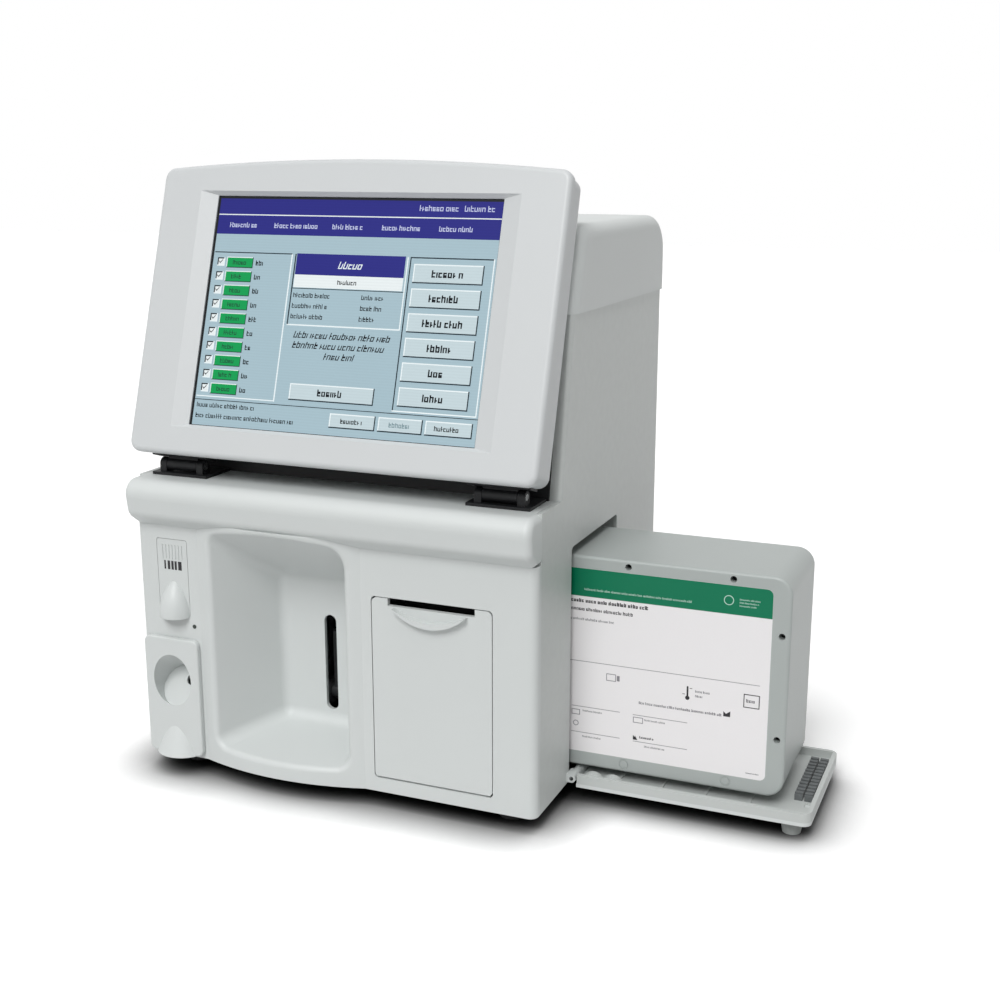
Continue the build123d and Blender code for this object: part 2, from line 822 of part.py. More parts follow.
def bin_box(inset):
    """Block of the collecting bin, smaller and taller when inset."""
    low = DRAWER_LOW + RUNNER_T + RUN_GAP
    return block(
        around(DRAWER_X, BIN_W / 2 - inset),
        (SKIN_BACK + 2 + inset, SKIN_BACK + 2 + BIN_D - inset),
        (low + inset, low + BIN_H + inset),
    )


def ampoule_bin():
    """Open bin behind the drawer front that collects the broken tips."""
    return one(bin_box(0) - bin_box(BIN_WALL))


def drawer_runners():
    """Angle runners on the base pan that carry the bin."""
    low = DRAWER_LOW + RUNNER_T + RUN_GAP
    depth = (FASCIA_BACK + WALL, SKIN_BACK + 2 + BIN_D + 6)
    half = BIN_W / 2 + RUN_GAP
    runners = []
    for side in (-1, 1):
        wall = block(
            sorted_pair(DRAWER_X + side * half, DRAWER_X + side * (half + RUNNER_T)),
            depth,
            (PAN_T, low + 12),
        )
        ledge = block(
            sorted_pair(DRAWER_X + side * half, DRAWER_X + side * (half - 5)),
            depth,
            (PAN_T, low - RUN_GAP),
        )
        runners.append(wall + ledge)
    return group(runners)


# Sampler


def sampler_arm():
    """Arm that swings the needle out through the slot."""
    blade = block(around(SLOT_X, ARM_W / 2), around(PIVOT_Y, ARM_T / 2), (PIVOT_Z, PIVOT_Z + ARM_L))
    hub = rod_x(around(SLOT_X, CHEEK_GAP), PIVOT_Y, PIVOT_Z, ARM_T / 2 + 1.5)
    bore = rod_x(around(SLOT_X, 2 * CHEEK_GAP), PIVOT_Y, PIVOT_Z, SAMPLER_SHAFT_R + SHAFT_GAP)
    socket = rod_z(SLOT_X, PIVOT_Y, (PIVOT_Z + ARM_L - 10, PIVOT_Z + ARM_L + 1), NEEDLE_R)
    return one(blade + hub - bore - socket)


def sampler_needle():
    """Hollow needle at the end of the arm."""
    span = (PIVOT_Z + ARM_L - 10, PIVOT_Z + ARM_L + NEEDLE_OUT)
    return one(rod_z(SLOT_X, PIVOT_Y, span, NEEDLE_R) - rod_z(SLOT_X, PIVOT_Y, span, NEEDLE_R / 2))


def sampler_bracket():
    """Two cheeks on the back of the bay that hold the arm's shaft."""
    cheeks = []
    for side in (-1, 1):
        near = SLOT_X + side * (CHEEK_GAP + RUN_GAP)
        cheek = block(
            sorted_pair(near, near + side * CHEEK_T),
            (BAY_BACK + WALL, PIVOT_Y + ARM_T),
            around(PIVOT_Z, SAMPLER_MOTOR_R),
        )
        bore = rod_x((SLOT_X - 20, SLOT_X + 20), PIVOT_Y, PIVOT_Z, SAMPLER_SHAFT_R)
        cheeks.append(cheek - bore)
    return group(cheeks)


def sampler_motor():
    """Geared motor whose shaft carries the arm."""
    face = SLOT_X + CHEEK_GAP + RUN_GAP + CHEEK_T
    body = rod_x((face, face + SAMPLER_MOTOR_L), PIVOT_Y, PIVOT_Z, SAMPLER_MOTOR_R)
    start = SLOT_X - CHEEK_GAP - RUN_GAP - CHEEK_T
    shaft = rod_x((start, face + 1), PIVOT_Y, PIVOT_Z, SAMPLER_SHAFT_R)
    return one(body + shaft)


# Printer


def crescent():
    """Finger lip of the printer door, a crescent under the paper slot."""
    top = PRINTER_TOP - PAPER_SLOT_H - 0.5
    half = LIP_W / 2
    lower = ThreePointArc((-half, top), (0, top - LIP_DROP), (half, top))
    upper = ThreePointArc((half, top), (0, top - LIP_DROP + LIP_BODY), (-half, top))
    face = make_face([lower, upper])
    plane = Plane(origin=(PRINTER_X, FRONT, 0), x_dir=(1, 0, 0), z_dir=(0, -1, 0))
    return extrude(plane * face, LIP_OUT, dir=(0, -1, 0))


def printer_door():
    """Door of the paper compartment, hinged near its foot."""
    plate = front_plate(
        around(PRINTER_X, PRINTER_W / 2),
        (FRONT, DOOR_PIN_Y),
        (PRINTER_LOW, PRINTER_TOP),
        PRINTER_CORNER_R,
    )
    below = block(around(PRINTER_X, PRINTER_W), (FRONT - 1, DOOR_PIN_Y), (PRINTER_LOW - 1, DOOR_PIN_Z))
    tail = plate & below & rod_x(around(PRINTER_X, PRINTER_W), DOOR_PIN_Y, DOOR_PIN_Z, PRINTER_TAIL_R)
    half = PRINTER_W / 2 - PRINTER_CORNER_R
    barrel = rod_x(around(PRINTER_X, half), DOOR_PIN_Y, DOOR_PIN_Z, PRINTER_DOOR_T)
    slot = block(
        around(PRINTER_X, PAPER_SLOT_W / 2),
        (FRONT - 1, DOOR_PIN_Y + 1),
        (PRINTER_TOP - PAPER_SLOT_H, PRINTER_TOP + 1),
    )
    bore = rod_x(around(PRINTER_X, PRINTER_W), DOOR_PIN_Y, DOOR_PIN_Z, PRINTER_PIN_R + SHAFT_GAP)
    return one(plate - below + tail + barrel + crescent() - slot - bore)


def chassis_box(inset, front):
    """Block of the paper compartment."""
    return block(
        around(PRINTER_X, PRINTER_W / 2 + 2.5 - inset),
        (front, PRINTER_BACK - inset),
        (PRINTER_LOW - 3 + inset, PRINTER_TOP + 3 - inset),
    )


def printer_chassis():
    """Open tub behind the door that holds the roll and the mechanism."""
    tub = chassis_box(0, SKIN_BACK) - chassis_box(CHASSIS_T, SKIN_BACK - 1)
    rods = printer_rod_forms()
    return one(tub - rods)


def printer_rod_forms():
    """The door's hinge pin and the roll's spindle."""
    span = around(PRINTER_X, PRINTER_W / 2 + 2.5)
    pin = rod_x(span, DOOR_PIN_Y, DOOR_PIN_Z, PRINTER_PIN_R)
    spindle = rod_x(span, ROLL_Y, ROLL_Z, PAPER_CORE_R - 0.1)
    return [pin, spindle]


def printer_rods():
    """Hinge pin and spindle as two separate rods."""
    return group(printer_rod_forms())


def paper_roll():
    """Roll of thermal paper."""
    span = around(PRINTER_X, PAPER_W / 2)
    return one(rod_x(span, ROLL_Y, ROLL_Z, PAPER_R) - rod_x(span, ROLL_Y, ROLL_Z, PAPER_CORE_R))


def printer_frame():
    """Frame of the print mechanism: a floor and two side plates."""
    depth = (FRONT + 12, PRINTER_BACK - CHASSIS_T)
    low = PLATEN_Z - 30
    floor = block(around(PRINTER_X, PRINTER_W / 2 + 1), depth, (low, low + 2))
    sides = []
    for side in (-1, 1):
        near = PRINTER_X + side * FRAME_HALF
        plate = block(sorted_pair(near, near + side * 2), depth, (low + 2, PRINTER_TOP - 4))
        sides.append(plate)
    bore = rod_x(around(PRINTER_X, PRINTER_W), PLATEN_Y, PLATEN_Z, PLATEN_SHAFT_R + SHAFT_GAP)
    shaft = rod_x((PRINTER_X, PRINTER_X + PRINTER_W), PINION_Y, PINION_Z, 2.0)
    return one(floor + sides - bore - shaft)


def print_head():
    """Thermal print head behind the platen."""
    near = PLATEN_Y + PLATEN_R + RUN_GAP
    return one(block(around(PRINTER_X, FRAME_HALF), (near, near + 3), around(PLATEN_Z + 5, 8)))


def gear_face(teeth, phase):
    """Outline of a spur gear with straight-sided teeth."""
    pitch_r = GEAR_MODULE * teeth / 2
    root_r = pitch_r - 1.1 * GEAR_MODULE
    tip_r = pitch_r + 0.85 * GEAR_MODULE
    step = 2 * pi / teeth
    points = []
    for i in range(teeth):
        middle = radians(phase) + i * step
        for radius, share in ((root_r, -0.34), (tip_r, -0.12), (tip_r, 0.12), (root_r, 0.34)):
            angle = middle + share * step
            points.append((radius * cos(angle), radius * sin(angle)))
    return make_face(Polyline(*points, close=True))


def platen_roller():
    """Rubber platen on its shaft, with the driven gear."""
    start = PRINTER_X + FRAME_HALF + 2 + RUN_GAP
    gear = along_x(
        Pos(PLATEN_Y, PLATEN_Z) * gear_face(PLATEN_TEETH, PINION_ANGLE), (start, start + GEAR_T)
    )
    shaft = rod_x((PRINTER_X - FRAME_HALF - 2, start + GEAR_T), PLATEN_Y, PLATEN_Z, PLATEN_SHAFT_R)
    tyre = rod_x(around(PRINTER_X, FRAME_HALF - 1), PLATEN_Y, PLATEN_Z, PLATEN_R)
    return one(tyre + shaft + gear)


def motor_pinion():
    """Pinion on the printer motor's shaft, in mesh with the platen's gear."""
    start = PRINTER_X + FRAME_HALF + 2 + RUN_GAP
    phase = PINION_ANGLE + 180 + 180 / PINION_TEETH
    gear = along_x(Pos(PINION_Y, PINION_Z) * gear_face(PINION_TEETH, phase), (start, start + GEAR_T))
    return one(gear - rod_x((start - 1, start + GEAR_T + 1), PINION_Y, PINION_Z, 1.5 + SHAFT_GAP))


def printer_motor():
    """Small motor against the frame, with its shaft through the side plate."""
    face = PRINTER_X + FRAME_HALF
    body = rod_x((face - STEPPER_L, face), PINION_Y, PINION_Z, STEPPER_R)
    shaft = rod_x((face - 1, face + 2 + RUN_GAP + GEAR_T), PINION_Y, PINION_Z, 1.5)
    return one(body + shaft)


# Display


def bezel_face(inset):
    """Outline of the display front: straight sides and an arched top."""
    half = BEZEL_W / 2 - inset
    low = -BEZEL_DOWN + inset
    high = BEZEL_UP - inset
    sides = Polyline((-half, high), (-half, low), (half, low), (half, high))
    arch = ThreePointArc((half, high), (0, high + BEZEL_ARCH), (-half, high))
    face = make_face([*sides.edges(), arch])
    return fillet(face.vertices(), BEZEL_CORNER_R - inset / 2)


def screen_block(u, v, front, back):
    """A box on the display: across, up and between two depths."""
    return SCREEN.location * block(u, v, (-back, -front))


def display_bezel():
    """Front frame of the display with its bevelled window."""
    frame = extrude(bezel_face(0), -BEZEL_T)
    rim = frame.faces().sort_by(Axis.Z)[-1].edges()
    frame = fillet(rim, 3.5)
    pocket = Pos(0, 0, -BEZEL_T) * extrude(bezel_face(WALL), BEZEL_T - BEZEL_SKIN)
    outer = Pos(0, 0, 0.01) * Rectangle(LCD_W + 2 * BEVEL_SIDE, LCD_H + 2 * BEVEL_END)
    inner = Pos(0, 0, -BEZEL_SKIN + 1) * Rectangle(LCD_W, LCD_H)
    bevel = loft([outer, inner], ruled=True)
    window = Pos(0, 0, -BEZEL_T / 2) * Box(LCD_W, LCD_H, BEZEL_T)
    return one(SCREEN.location * (frame - pocket - bevel - window))


def wedge_form(inset):
    """Side view of the rear housing, thinner towards the top."""
    top = BEZEL_UP + BEZEL_ARCH + 1
    low_back = -BEZEL_T - HOUSING_LOW_T + inset
    top_back = -BEZEL_T - HOUSING_TOP_T + inset
    front = -BEZEL_T + inset
    points = [(-BEZEL_DOWN - 1, front), (-BEZEL_DOWN - 1, low_back), (top, top_back), (top, front)]
    return along_x(make_face(Polyline(*points, close=True)), around(0, BEZEL_W))


def housing_form(inset):
    """The rear housing as a solid in the display's own frame."""
    prism = Pos(0, 0, -60) * extrude(bezel_face(HOUSING_STEP + inset), 60)
    return prism & wedge_form(inset)


def display_rear_housing():
    """Rear housing of the display with cooling slots."""
    outer = housing_form(0)
    back = outer.faces().sort_by(Axis.Z)[0]
    outer = fillet(back.edges(), 6)
    shell = outer - housing_form(HOUSING_WALL)
    slots = [
        Pos((i - 6) * 12, BEZEL_UP - 30, -HOUSING_TOP_T - BEZEL_T) * Box(3, 34, 12)
        for i in range(13)
    ]
    return one(SCREEN.location * (shell - slots))


def touch_glass():
    """Touch glass behind the bezel."""
    half_w = LCD_W / 2 + GLASS_MARGIN
    half_h = LCD_H / 2 + GLASS_MARGIN
    return one(
        screen_block((-half_w, half_w), (-half_h, half_h), BEZEL_SKIN, BEZEL_SKIN + GLASS_T)
    )


def lcd_panel():
    """Liquid crystal module with its metal frame."""
    half_w = LCD_W / 2 + MODULE_MARGIN
    half_h = LCD_H / 2 + MODULE_MARGIN
    front = BEZEL_SKIN + GLASS_T
    return one(screen_block((-half_w, half_w), (-half_h, half_h), front, front + MODULE_T))


def display_board():
    """Display controller board on posts behind the panel."""
    front = BEZEL_SKIN + GLASS_T + MODULE_T
    depth = front + 3
    board = screen_block((-70, 70), (-45, 45), depth, depth + BOARD_T)
    posts = [
        screen_block(around(u, 3), around(v, 3), front, depth) for u in (-64, 64) for v in (-39, 39)
    ]
    chips = [
        screen_block(around(u, 9), around(v, 9), depth + BOARD_T, depth + BOARD_T + 2)
        for u, v in ((-35, 12), (5, -14), (42, 16))
    ]
    socket = screen_block((-60, -20), (-43, -36), depth + BOARD_T, depth + BOARD_T + 4)
    return one(board + posts + chips + socket)


def display_arms():
    """Two arms under the display that turn on the hinge pins."""
    arms = []
    for side in (-1, 1):
        x = side * HINGE_X
        foot = screen_block(
            around(x, HINGE_W / 2), (HINGE_V + 3, -BEZEL_DOWN + HOUSING_STEP), ARM_BACK - 8, ARM_BACK + 4
        )
        foot = foot & screen_block(
            around(x, HINGE_W / 2), (-BEZEL_DOWN - 0.4, -BEZEL_DOWN + HOUSING_STEP), 0, 60
        )
        web = screen_block(around(x, KNUCKLE_W / 2), (HINGE_V, -BEZEL_DOWN), ARM_BACK - 3, ARM_BACK + 3)
        barrel = rod_x(around(x, KNUCKLE_W / 2), HINGE_Y, HINGE_Z, KNUCKLE_R)
        bore = rod_x(around(x, HINGE_W), HINGE_Y, HINGE_Z, HINGE_PIN_R + SHAFT_GAP)
        arms.append(foot + web + barrel - bore)
    return group(arms)


def hinge_brackets():
    """Two brackets on the brow that hold the hinge pins in pairs of ears."""
    brackets = []
    for side in (-1, 1):
        x = side * HINGE_X
        base = block(around(x, HINGE_W / 2), (HINGE_Y - 7, NECK_Y - 3), (BROW_TOP, BROW_TOP + 2))
        bracket = base
        for hand in (-1, 1):
            near = x + hand * (KNUCKLE_W / 2 + RUN_GAP)
            span = sorted_pair(near, near + hand * EAR_W)
            ear = rod_x(span, HINGE_Y, HINGE_Z, KNUCKLE_R)
            post = block(span, around(HINGE_Y, KNUCKLE_R), (BROW_TOP, HINGE_Z))
            bracket = bracket + ear + post
        bracket = bracket - rod_x(around(x, HINGE_W), HINGE_Y, HINGE_Z, HINGE_PIN_R)
        brackets.append(bracket)
    return group(brackets)


def hinge_pins():
    """Steel pins of the display hinge."""
    half = KNUCKLE_W / 2 + RUN_GAP + EAR_W
    return group(
        [rod_x(around(side * HINGE_X, half), HINGE_Y, HINGE_Z, HINGE_PIN_R) for side in (-1, 1)]
    )


# Cartridge


def cart_slab(y, inset):
    """The cartridge's outline between two depths."""
    return front_plate(
        (CART_START + inset, CART_END - inset),
        y,
        (CART_LOW + inset, CART_TOP - inset),
        CART_CORNER_R - inset,
    )


def cart_screw_spots():
    """Places of the screws: along the top, along the foot and up the outer end."""
    first = CART_END - 38
    along = [first - i * CART_SCREW_PITCH for i in range(3)]
    top = [(x, CART_TOP - 4.5) for x in along]
    end = [(CART_END - 5.5, CART_LOW + share * CART_H) for share in (0.27, 0.74)]
    return top + end


def cart_boss_spots():
    """Places of the ring bosses along the foot."""
    return [(CART_END - 38 - i * CART_SCREW_PITCH, CART_LOW + 6) for i in range(3)]


def label_form(thick):
    """Outline of the label on the front shell."""
    return front_plate(
        (CART_START + 6, CART_END - LABEL_END_MARGIN),
        (CART_FRONT, CART_FRONT + thick),
        (CART_LOW + LABEL_BOTTOM_MARGIN, CART_TOP - LABEL_TOP_MARGIN),
        4.0,
    )


def cartridge_front_shell():
    """Front half of the cartridge, with the label's recess and screw holes."""
    slab = cart_slab((CART_FRONT, CART_FRONT + LID_T), 0)
    slab = fillet(slab.faces().sort_by(Axis.Y)[0].edges(), 2)
    hollow = cart_slab((CART_FRONT + CART_WALL, CART_FRONT + LID_T + 1), CART_WALL)
    posts = [
        rod_y(x, (CART_FRONT + 1, CART_FRONT + LID_T), z, CART_SCREW_R + 1.8)
        for x, z in cart_screw_spots()
    ]
    holes = [
        rod_y(x, (CART_FRONT - 1, CART_FRONT + LID_T + 1), z, CART_SCREW_R)
        for x, z in cart_screw_spots()
    ]
    rings = [
        rod_y(x, (CART_FRONT - 1, CART_FRONT + 0.6), z, CART_BOSS_R)
        - rod_y(x, (CART_FRONT - 1, CART_FRONT + 0.6), z, CART_BOSS_R - 1.2)
        for x, z in cart_boss_spots()
    ]
    return one(slab - hollow + posts - holes - rings - label_form(LABEL_T))


def cartridge_rear_shell():
    """Rear half of the cartridge, with the pump window in its back."""
    span = (CART_FRONT + LID_T, CART_BACK)
    slab = cart_slab(span, 0)
    slab = fillet(slab.faces().sort_by(Axis.Y)[-1].edges(), 2)
    hollow = cart_slab((span[0] - 1, CART_BACK - CART_WALL), CART_WALL)
    posts = [
        rod_y(x, (span[0], CART_BACK - 1), z, CART_SCREW_R + 1.8) for x, z in cart_screw_spots()
    ]
    holes = [rod_y(x, (span[0] - 1, span[0] + 12), z, CART_SCREW_R) for x, z in cart_screw_spots()]
    return one(slab - hollow + posts - holes)


def cartridge_label():
    """Printed label in the recess of the front shell."""
    return one(label_form(LABEL_T))


def cartridge_screws():
    """Screws sunk in the front shell."""
    screws = []
    for x, z in cart_screw_spots():
        head = rod_y(x, (CART_FRONT + 6, CART_FRONT + 8), z, CART_SCREW_R)
        shank = rod_y(x, (CART_FRONT + 8, CART_FRONT + LID_T + 12), z, CART_SCREW_R)
        screws.append(head + shank)
    return group(screws)


def reagent_pouches():
    """Reagent pouches that stand on the floor of the cartridge."""
    length = (CART_L - 2 * CART_CORNER_R - 16) / 3
    pouches = []
    for i in range(3):
        low = CART_START + CART_CORNER_R + i * (length + 8)
        pouch = front_plate(
            (low, low + length),
            (CART_FRONT + LID_T + 6, CART_BACK - CART_WALL),
            (CART_LOW + CART_WALL, CART_TOP - 24),
            8.0,
        )
        pouches.append(pouch)
    return group(pouches)


def cartridge_rails():
    """Lower and upper channels that guide the cartridge."""
    x = (CART_HOME_START - 6, SIDE - WALL - COLLAR_D - RUN_GAP)
    y = (CART_FRONT - RUN_GAP, CART_BACK + RUN_GAP)
    rails = []
    for level, way in ((CART_LOW - RUN_GAP, 1), (CART_TOP + RUN_GAP, -1)):
        web = block(x, (y[0] - RAIL_T, y[1] + RAIL_T), sorted_pair(level, level - way * RAIL_T))
        lips = [
            block(x, sorted_pair(edge, edge + side * RAIL_T), sorted_pair(level, level + way * RAIL_LIP))
            for edge, side in ((y[0], -1), (y[1], 1))
        ]
        legs = rail_legs(x, y, level, way)
        rails.append(web + lips + legs)
    return group(rails)


def rail_legs(x, y, level, way):
    """Feet of the lower channel on the pan, or hangers of the upper one on the shelf."""
    far = PAN_T if way > 0 else SHELF_Z
    near = level - way * RAIL_T
    legs = []
    for share in (0.06, 0.9):
        spot = x[0] + share * (x[1] - x[0])
        legs.append(block(around(spot, 4), (y[0], y[1]), sorted_pair(near, far)))
    return legs


def drive_plate():
    """Upright plate behind the cartridge that carries the pump."""
    x = (CART_HOME_START - 8, SIDE - WALL - FLANGE)
    plate = block(x, (DRIVE_Y, DRIVE_Y + PLATE_T), (PAN_T, SHELF_Z))
    hole = rod_y(PUMP_X, (DRIVE_Y - 1, DRIVE_Y + PLATE_T + 1), PUMP_Z, PUMP_SHAFT_R + 1)
    return one(plate - hole)


def pump_motor():
    """Pump motor on the back of the drive plate, with its shaft."""
    start = DRIVE_Y + PLATE_T
    body = rod_y(PUMP_X, (start, start + PUMP_MOTOR_L), PUMP_Z, PUMP_MOTOR_R)
    shaft = rod_y(PUMP_X, (CART_BACK + 2, start + 1), PUMP_Z, PUMP_SHAFT_R)
    return one(body + shaft)


def pump_rotor():
    """Peristaltic rotor: two discs and the rollers between them."""
    y = (CART_BACK + 1.5, DRIVE_Y - 1)
    discs = [rod_y(PUMP_X, (y[0], y[0] + 2), PUMP_Z, ROTOR_R - ROLLER_R)]
    discs.append(rod_y(PUMP_X, (y[1] - 2, y[1]), PUMP_Z, ROTOR_R - ROLLER_R))
    hub = rod_y(PUMP_X, y, PUMP_Z, PUMP_SHAFT_R + 3)
    rollers = [
        Pos(PUMP_X, 0, PUMP_Z) * loc * rod_y(ROTOR_R - ROLLER_R, (y[0] + 1, y[1] - 1), 0, ROLLER_R)
        for loc in [Rot(0, 120 * i, 0) for i in range(3)]
    ]
    bore = rod_y(PUMP_X, (y[0] - 1, y[1] + 1), PUMP_Z, PUMP_SHAFT_R + SHAFT_GAP)
    return one(hub + discs + rollers - bore)


def contact_block():
    """Block of contacts at the inner end of the rails."""
    x = (CART_HOME_START - 8, CART_HOME_START - 1)
    body = block(x, (CART_BACK - 20, DRIVE_Y), around(PUMP_Z, 24))
    pins = [
        rod_x((x[1] - 1, x[1] + 0.5), CART_BACK - 14, PUMP_Z - 18 + i * 4, 0.8) for i in range(10)
    ]
    return one(body + pins)


# Side door, folded down


def side_door_panel():
    """Outer skin of the side door with its hinge barrel."""
    skin = block((DOOR_AXIS_X, DOOR_END), (DOOR_FRONT, DOOR_REAR), (DOOR_LOW, DOOR_FLOOR))
    skin = fillet(skin.edges().filter_by(Axis.Z).group_by(Axis.X)[-1], 6)
    span = (DOOR_FRONT + DOOR_BRACKET_W + RUN_GAP, DOOR_REAR - DOOR_BRACKET_W - RUN_GAP)
    barrel = rod_y(DOOR_AXIS_X, span, DOOR_AXIS_Z, DOOR_BARREL_R)
    web = block((DOOR_AXIS_X, DOOR_AXIS_X + DOOR_BARREL_R), span, (DOOR_FLOOR - 1, DOOR_AXIS_Z))
    bore = rod_y(
        DOOR_AXIS_X, (DOOR_FRONT - 1, DOOR_REAR + 1), DOOR_AXIS_Z, DOOR_PIN_R + SHAFT_GAP
    )
    relief = [
        block(
            (DOOR_AXIS_X - 1, DOOR_AXIS_X + DOOR_BARREL_R + 2 * RUN_GAP),
            edge,
            (DOOR_LOW - 1, DOOR_FLOOR + 1),
        )
        for edge in door_bracket_spans(RUN_GAP)
    ]
    return one(skin + barrel + web - bore - relief)


def door_bracket_spans(gap):
    """The two ends of the hinge, as (low, high) pairs along Y."""
    width = DOOR_BRACKET_W + gap
    return [(DOOR_FRONT - gap, DOOR_FRONT + width), (DOOR_REAR - width, DOOR_REAR + gap)]


def side_door_liner():
    """Inner frame of the side door: rims, ribs and the two lobes by the hinge."""
    start = DOOR_AXIS_X + DOOR_BARREL_R + 1
    top = DOOR_FLOOR + DOOR_RIM_H
    body = block((start, DOOR_END), (DOOR_FRONT, DOOR_REAR), (DOOR_FLOOR, top))
    body = fillet(body.edges().filter_by(Axis.Z).group_by(Axis.X)[-1], 6)
    well = block(
        (start - 1, DOOR_END - DOOR_RIM_T),
        (DOOR_FRONT + DOOR_RIM_T, DOOR_REAR - DOOR_RIM_T),
        (DOOR_FLOOR + 1, top + 1),
    )
    ribs = [
        block(around(start + 26 + i * 30, 1), (DOOR_FRONT + 1, DOOR_REAR - 1), (DOOR_FLOOR, DOOR_FLOOR + 2))
        for i in range(4)
    ]
    lobes = [
        rod_y(start + 10 + i * 14, (DOOR_FRONT + 1, DOOR_FRONT + 7), DOOR_FLOOR, 8) & body_room(start)
        for i in range(2)
    ]
    notch = block((DOOR_END - 8, DOOR_END - 4), (DOOR_FRONT + 22, DOOR_FRONT + 27), (DOOR_FLOOR, top + 1))
    return one(body - well + ribs + lobes - notch)


def body_room(start):
    """Space above the door's floor that the lobes are kept to."""
    return block((start, DOOR_END), (DOOR_FRONT, DOOR_REAR), (DOOR_FLOOR, DOOR_FLOOR + 8))


def side_door_pads():
    """Two ribbed rubber pads at the outer end of the door."""
    pads = []
    width = PAD_W / 2 - 0.6
    for i in range(2):
        low = DOOR_END - DOOR_RIM_T - PAD_W - 1 + i * (PAD_W / 2 + 0.6)
        span = (DOOR_FRONT + 30, DOOR_REAR - 14)
        base = block((low, low + width), span, (DOOR_FLOOR + 1, DOOR_FLOOR + PAD_H - 1))
        count = 12
        pitch = (span[1] - span[0]) / count
        ribs = [
            block(
                (low, low + width),
                around(span[0] + (k + 0.5) * pitch, pitch / 4),
                (DOOR_FLOOR + 2, DOOR_FLOOR + PAD_H),
            )
            for k in range(count)
        ]
        pads.append(base + ribs)
    return group(pads)


def side_door_foot():
    """Rubber foot that holds the open door off the bench."""
    height = FOOT_H + DOOR_LOW
    foot = Cone(DOOR_FOOT_R - 2, DOOR_FOOT_R, height)
    return one(Pos(DOOR_END - 14, DOOR_FRONT + 14, DOOR_LOW - height / 2) * foot)


def side_door_pin():
    """Hinge pin of the side door."""
    return one(rod_y(DOOR_AXIS_X, (DOOR_FRONT, DOOR_REAR), DOOR_AXIS_Z, DOOR_PIN_R))


def side_door_brackets():
    """Two hinge knuckles on the side cover."""
    brackets = []
    for span in door_bracket_spans(0):
        knuckle = rod_y(DOOR_AXIS_X, span, DOOR_AXIS_Z, DOOR_BARREL_R)
        foot = block(
            (SIDE, DOOR_AXIS_X), span, (DOOR_AXIS_Z - DOOR_BARREL_R, DOOR_AXIS_Z + DOOR_BARREL_R)
        )
        bore = rod_y(DOOR_AXIS_X, (span[0] - 1, span[1] + 1), DOOR_AXIS_Z, DOOR_PIN_R)
        brackets.append(knuckle + foot - bore)
    return group(brackets)


# Inside the case


def chassis_shelf():
    """Shelf across the case with the spacers of the main board."""
    half = SIDE - WALL
    plate = block((-half, half), (FASCIA_BACK + 30, REAR - WALL - FAN_T - 4), (SHELF_Z, SHELF_Z + SHELF_T))
    flanges = [
        block(
            sorted_pair(side * half, side * (half - SHELF_T)),
            (NECK_Y + 10, REAR - WALL - FAN_T - 4),
            (SHELF_Z, SHELF_Z + 12),
        )
        for side in (-1, 1)
    ]
    top = SHELF_Z + SHELF_T
    spacers = [
        rod_z(x, y, (top, top + SPACER_H), SPACER_R)
        for x in around(0, BOARD_L / 2 - 6)
        for y in around(BOARD_Y, BOARD_W / 2 - 6)
    ]
    return one(plate + flanges + spacers)


def port_band(gap):
    """Height of the rear connectors, as a (low, high) pair."""
    return (BOARD_LOW + BOARD_T - gap, BOARD_LOW + BOARD_T + 13 + gap)


def main_board():
    """Main board with its chips, heat sink and rear connectors."""
    low, top = BOARD_LOW, BOARD_LOW + BOARD_T
    back = BOARD_Y + BOARD_W / 2
    board = block(around(0, BOARD_L / 2), around(BOARD_Y, BOARD_W / 2), (low, top))
    chips = [
        block(around(x, 11), around(BOARD_Y + y, 11), (top, top + 3))
        for x, y in ((-60, -20), (-20, 10), (25, -25), (62, 5))
    ]
    fins = [
        block(around(-66 + i * 4, 0.8), around(BOARD_Y + 26, 16), (top, top + 16)) for i in range(8)
    ]
    sink = block((-68, -36), around(BOARD_Y + 26, 16), (top, top + 3))
    slots = [
        block((-80, 80), around(BOARD_Y - 48 + i * 10, 3), (top, top + 9)) for i in range(2)
    ]
    ports = [block(around(x, w / 2), (back - 14, REAR + 1), port_band(0)) for x, w in port_spots()]
    return one(board + chips + fins + sink + slots + ports)


def port_spots():
    """Rear connectors as (x, width) pairs."""
    return [(-30, 31), (10, 31), (38, 16)]


def power_supply():
    """Enclosed power supply on the base pan, beside the inlet."""
    x = (-SIDE + WALL + SEAM_GAP + PAN_T + 1, -SIDE + WALL + SEAM_GAP + PAN_T + 1 + SUPPLY_W)
    y = (REAR - WALL - 34 - SUPPLY_D, REAR - WALL - 34)
    case = block(x, y, (PAN_T, PAN_T + SUPPLY_H))
    vents = [
        block((x[1] - 1, x[1] + 1), around(y[0] + 12 + i * 8, 2), (PAN_T + 20, PAN_T + SUPPLY_H - 20))
        for i in range(7)
    ]
    return one(case - vents)


def fan_frame():
    """Square frame of the rear fan with the spokes of its motor."""
    y = (REAR - WALL - FAN_T, REAR - WALL)
    frame = front_plate(around(FAN_X, FAN_SIZE / 2), y, around(FAN_Z, FAN_SIZE / 2), 4)
    frame = frame - rod_y(FAN_X, (y[0] - 1, y[1] + 1), FAN_Z, FAN_SIZE / 2 - 2)
    spoke = block((0, FAN_SIZE / 2 - 1), (y[0], y[0] + 2), (-1.5, 1.5))
    spokes = [Pos(FAN_X, 0, FAN_Z) * Rot(0, 45 + 90 * i, 0) * spoke for i in range(4)]
    hub = rod_y(FAN_X, (y[0], y[0] + 2), FAN_Z, FAN_HUB_R)
    post = rod_y(FAN_X, (y[0] + 1, y[0] + 6), FAN_Z, 2)
    return one(frame + spokes + hub + post)


